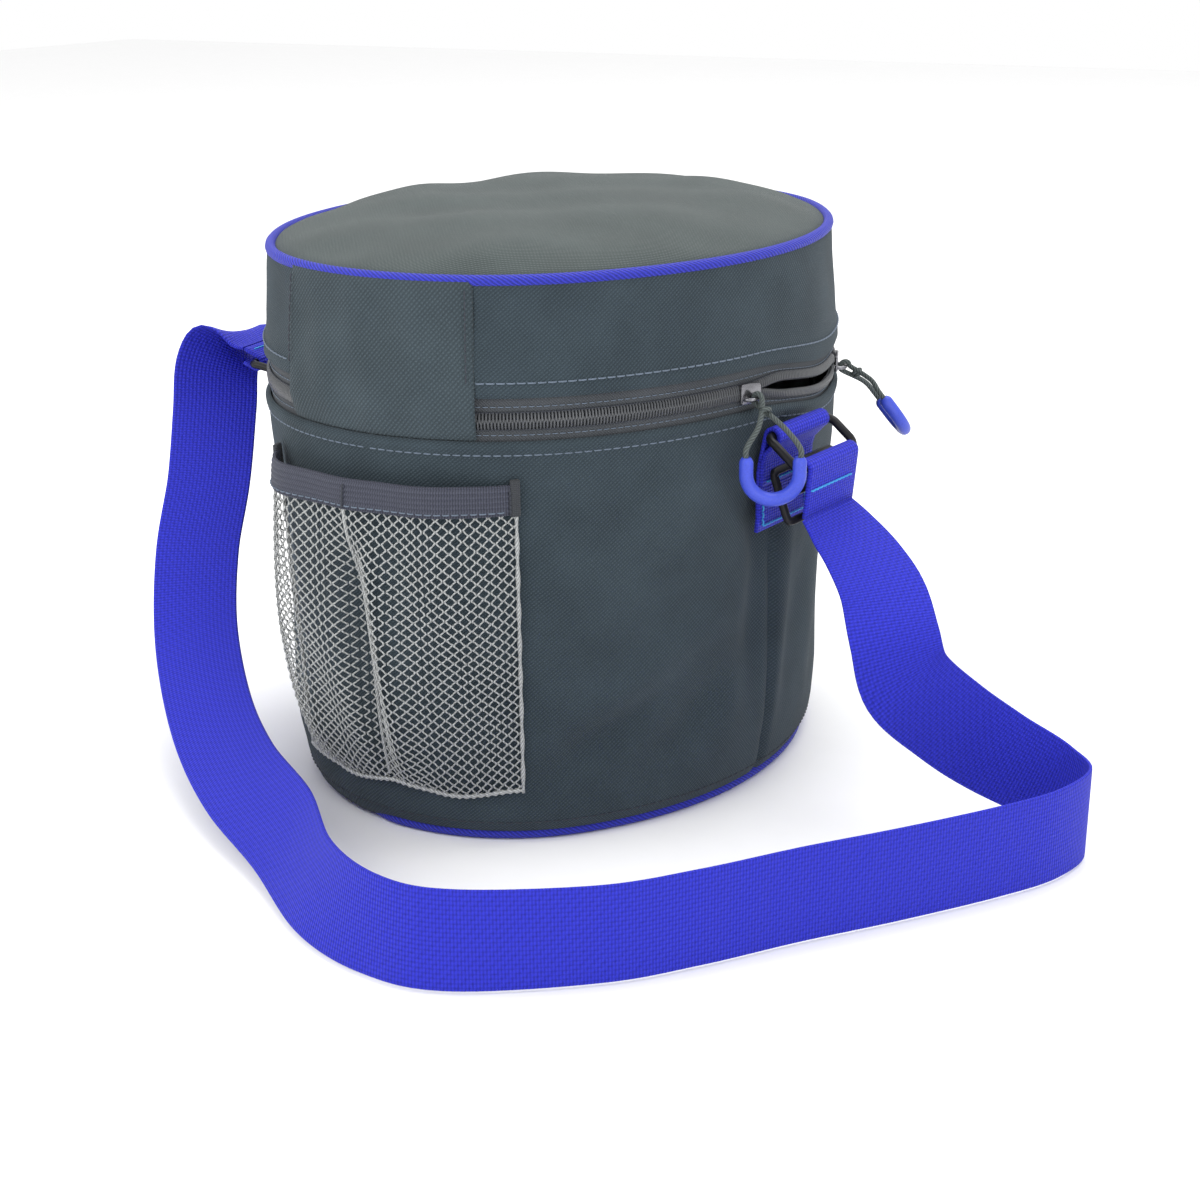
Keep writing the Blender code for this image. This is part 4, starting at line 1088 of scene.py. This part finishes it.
def make_tab(anchor):
    """Webbing patch sewn on the wall, and its loop round the ring's inner bar."""
    wall = 0.0060
    turn_radius = RING_BAR_R + 0.0004 + WEB_T / 2
    path = [(wall - 0.0006, 0.1240), (wall, 0.130), (wall, 0.140), (wall, 0.1500),
            (wall + 0.0010, 0.1560)]
    path += arc2((BAR_OUT, BAR_Z), turn_radius, 172, -62, 22)
    path += [(wall + 0.0030, 0.1585), (wall + 0.0017, 0.1545), (wall + 0.0016, 0.1500),
             (wall + 0.0016, 0.1440)]
    tab = anchor.webbing(f"anchor_webbing_{anchor.side}", path, WEBBING, "bag_body")
    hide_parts(f"anchor_tab_{anchor.side}")
    half = WEBBING / 2 - 0.0030
    front = wall + 0.0010
    anchor.stitch_line(f"anchor_stitch_low_{anchor.side}",
                       [(front, 0.1265, -half), (front, 0.1265, half)], THREAD_CYAN, "bag_body")
    anchor.stitch_line(f"anchor_stitch_mid_{anchor.side}",
                       [(front + 0.0016, 0.1460, -half), (front + 0.0016, 0.1460, half)],
                       THREAD_CYAN, "bag_body")
    anchor.stitch_line(f"anchor_stitch_sides_{anchor.side}",
                       [(front, 0.1265, -half), (front, 0.1420, -half)], THREAD_CYAN, "bag_body")
    anchor.stitch_line(f"anchor_stitch_far_{anchor.side}",
                       [(front, 0.1265, half), (front, 0.1420, half)], THREAD_CYAN, "bag_body")


def make_ring(anchor, slope_deg):
    """Moulded ring with flattened side arms; returns its outer bar as (outward, z)."""
    slope = math.radians(slope_deg)
    drop, half, corner = 0.0188, 0.0240, 0.0045
    path = []
    for run, side, start in ((drop - corner, half - corner, 0), (corner, half - corner, 90),
                             (corner, corner - half, 180), (drop - corner, corner - half, 270)):
        for a in np.radians(np.linspace(start, start + 90, 9)):
            reach = run + corner * math.cos(a)
            bow = 0.0014 * math.sin(math.pi * np.clip(reach / drop, 0, 1))
            path.append(anchor.at(BAR_OUT + reach * math.cos(slope) - bow * math.sin(slope),
                                  BAR_Z + reach * math.sin(slope) + bow * math.cos(slope),
                                  side + corner * math.sin(a)))
    bundle = Bundle()
    bundle.tube(path, RING_BAR_R, sides=14, closed=True,
                up=anchor.out * -math.sin(slope) + UP * math.cos(slope), flat=0.9)
    ring = bundle.object(f"moulded_ring_{anchor.side}", RING)
    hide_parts(f"ring_{anchor.side}")
    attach(ring, anchor.body)
    return BAR_OUT + drop * math.cos(slope), BAR_Z + drop * math.sin(slope)


def make_strap_end(anchor, bar, pull_deg, long_leg, short_leg):
    """Strap folded over the ring's outer bar; returns where the free strap starts."""
    radius = RING_BAR_R + 0.0004 + WEB_T / 2
    pull = np.array((math.cos(math.radians(pull_deg)), math.sin(math.radians(pull_deg))))
    fold = [np.array(p) for p in arc2(bar, radius, pull_deg + 90, pull_deg + 270, 19)]
    path = [fold[0] + pull * long_leg * s for s in (1.0, 0.75, 0.5, 0.25)] + fold
    path += [fold[-1] + pull * short_leg * s for s in (0.5, 1.0)]
    made = anchor.webbing(f"folded_strap_{anchor.side}", path, WEBBING - 0.0010, anchor.body)
    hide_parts(f"strap_end_{anchor.side}")
    place = fold[0] + pull * min(0.0090, long_leg * 0.6)
    face = np.array((math.cos(math.radians(pull_deg + 90)), math.sin(math.radians(pull_deg + 90))))
    line = place + face * (WEB_T / 2 + 0.0001)
    half = WEBBING / 2 - 0.0025
    anchor.stitch_line(f"flap_stitch_{anchor.side}", [(*line, -half), (*line, half)],
                       THREAD_CYAN, anchor.body, 0.0004, 0.00045)
    lead = 0.0070
    end, start = fold[0] + pull * (long_leg + 0.0006), fold[0] + pull * lead
    return [(anchor.at(*end), anchor.along), (anchor.at(*start), anchor.along)]


def make_triglide():
    """Strap adjuster with rounded edges, from its own solid."""
    source = NODES["triglide"]
    mesh = source.data.copy()
    made = bpy.data.objects.new("adjuster_frame", mesh)
    bpy.context.scene.collection.objects.link(made)
    mesh.materials.clear()
    mesh.materials.append(RING)
    weld = made.modifiers.new("weld", "WELD")
    weld.merge_threshold = 0.00001
    softened(made, 0.0006)
    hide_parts("triglide")
    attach(made, "ring_right")


# ---- shoulder strap -------------------------------------------------------------------------
# Middle of the webbing, then the direction of its width; from the right adjuster to the left ring.
STRAP_ROUTE = [
    ((0.1512, -0.0224, 0.1262), (0.20, 0.97, 0.09)),
    ((0.1632, -0.0270, 0.1170), (0.34, 0.93, 0.12)),
    ((0.1750, -0.0340, 0.1055), (0.50, 0.84, 0.14)),
    ((0.1835, -0.0412, 0.0895), (0.60, 0.74, 0.22)),
    ((0.1895, -0.0400, 0.0700), (0.60, 0.60, 0.40)),
    ((0.2030, -0.0260, 0.0510), (0.40, 0.30, 0.80)),
    ((0.2200, -0.0130, 0.0350), (0.10, 0.10, 1.00)),
    ((0.2450, -0.0090, 0.0240), (0.00, 0.00, 1.00)),
    ((0.2620, -0.0200, 0.0210), (0.00, 0.00, 1.00)),
    ((0.2590, -0.0450, 0.0208), (0.00, 0.00, 1.00)),
    ((0.2440, -0.0715, 0.0208), (0.00, 0.00, 1.00)),
    ((0.2168, -0.1088, 0.0208), (0.00, 0.00, 1.00)),
    ((0.1900, -0.1424, 0.0208), (0.00, 0.00, 1.00)),
    ((0.1647, -0.1767, 0.0208), (0.00, 0.00, 1.00)),
    ((0.1386, -0.2058, 0.0208), (0.00, 0.00, 1.00)),
    ((0.0930, -0.2360, 0.0208), (0.00, 0.10, 1.00)),
    ((0.0610, -0.2400, 0.0208), (0.10, 0.15, 1.00)),
    ((0.0250, -0.2270, 0.0210), (0.20, 0.30, 0.90)),
    ((-0.0150, -0.1970, 0.0230), (0.40, 0.50, 0.80)),
    ((-0.0600, -0.1700, 0.0260), (0.60, 0.50, 0.60)),
    ((-0.1000, -0.1400, 0.0350), (0.75, 0.50, 0.40)),
    ((-0.1370, -0.1050, 0.0550), (0.85, 0.50, 0.20)),
    ((-0.1550, -0.0800, 0.0850), (0.86, 0.50, 0.05)),
    ((-0.1620, -0.0600, 0.1150), (0.86, 0.50, 0.00)),
    ((-0.1700, -0.0430, 0.1450), (0.80, 0.60, 0.00)),
    ((-0.1730, -0.0350, 0.1650), (0.60, 0.80, 0.00)),
    ((-0.1690, -0.0270, 0.1790), (0.20, 0.98, 0.00)),
]


def make_strap(route):
    """Webbing on edge along the floor, in two lengths that meet in the front run."""
    spacing = 0.0030
    middles = smooth_path([point for point, _ in route], spacing)
    marks = np.array([point for point, _ in route])
    lengths = np.concatenate([[0.0], np.cumsum(np.linalg.norm(np.diff(marks, axis=0), axis=1))])
    ways = np.array([way for _, way in route])
    steps = np.linalg.norm(np.diff(middles, axis=0), axis=1)
    along = np.concatenate([[0.0], np.cumsum(steps)])
    runs = np.gradient(middles, axis=0)
    halves = []
    for i, run in enumerate(runs):
        share = lengths[-1] * i / (len(middles) - 1)
        across = np.array([np.interp(share, lengths, ways[:, k]) for k in range(3)])
        if 0 < i < len(middles) - 1:
            across = across - run * np.dot(across, run) / np.dot(run, run)
        halves.append(across / np.linalg.norm(across) * WEBBING / 2)
    halves = np.array(halves)
    for _ in range(3):
        halves[1:-1] = (halves[:-2] + 2 * halves[1:-1] + halves[2:]) / 4
    halves = halves / np.linalg.norm(halves, axis=1)[:, None] * WEBBING / 2
    cut = int(len(middles) * 0.52)
    for name, span, body, near, far in (
            ("strap_webbing_right", slice(0, cut + 1), "ring_right", middles[1], middles[16]),
            ("strap_webbing_left", slice(cut, None), "ring_left", middles[-2], middles[-24])):
        first = span.start == 0
        piece = webbing_piece(name, middles[span], halves[span], along[span], first, not first)
        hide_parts("shoulder_strap")
        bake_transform(piece)
        path = middles[span][::2]
        if name.endswith("left"):
            path = path[::-1]


# ---- assembly -------------------------------------------------------------------------------
def main():
    make_stage()
    make_camera()
    make_body()
    make_liner()
    make_lid()
    make_zip()
    make_pocket()
    grip_side = np.array((0.865, 0.502, 0.0))
    bar, normal, along = make_slider(1, SLIDER_DEG[0])
    make_pull(1, bar, normal, along, grip_side, (0.0160, -0.0089), 0.0203, 0.0)
    bar, normal, along = make_slider(2, SLIDER_DEG[1])
    make_pull(2, bar, normal, along, np.array((-0.44, 0.86, -0.26)), (0.0170, 0.0), 0.0150,
              math.radians(38))
    right = Anchor("right", -ANCHOR_DEG)
    make_tab(right)
    bar = make_ring(right, -38.0)
    start = make_strap_end(right, bar, -96.0, 0.0210, 0.0070)
    make_triglide()
    left = Anchor("left", 180.0 + ANCHOR_DEG)
    make_tab(left)
    bar = make_ring(left, 10.0)
    end = make_strap_end(left, bar, 25.0, 0.0080, 0.0060)
    make_strap(start[:1] + STRAP_ROUTE + [(end[0][0], -end[0][1])])
    make_padding()


main()
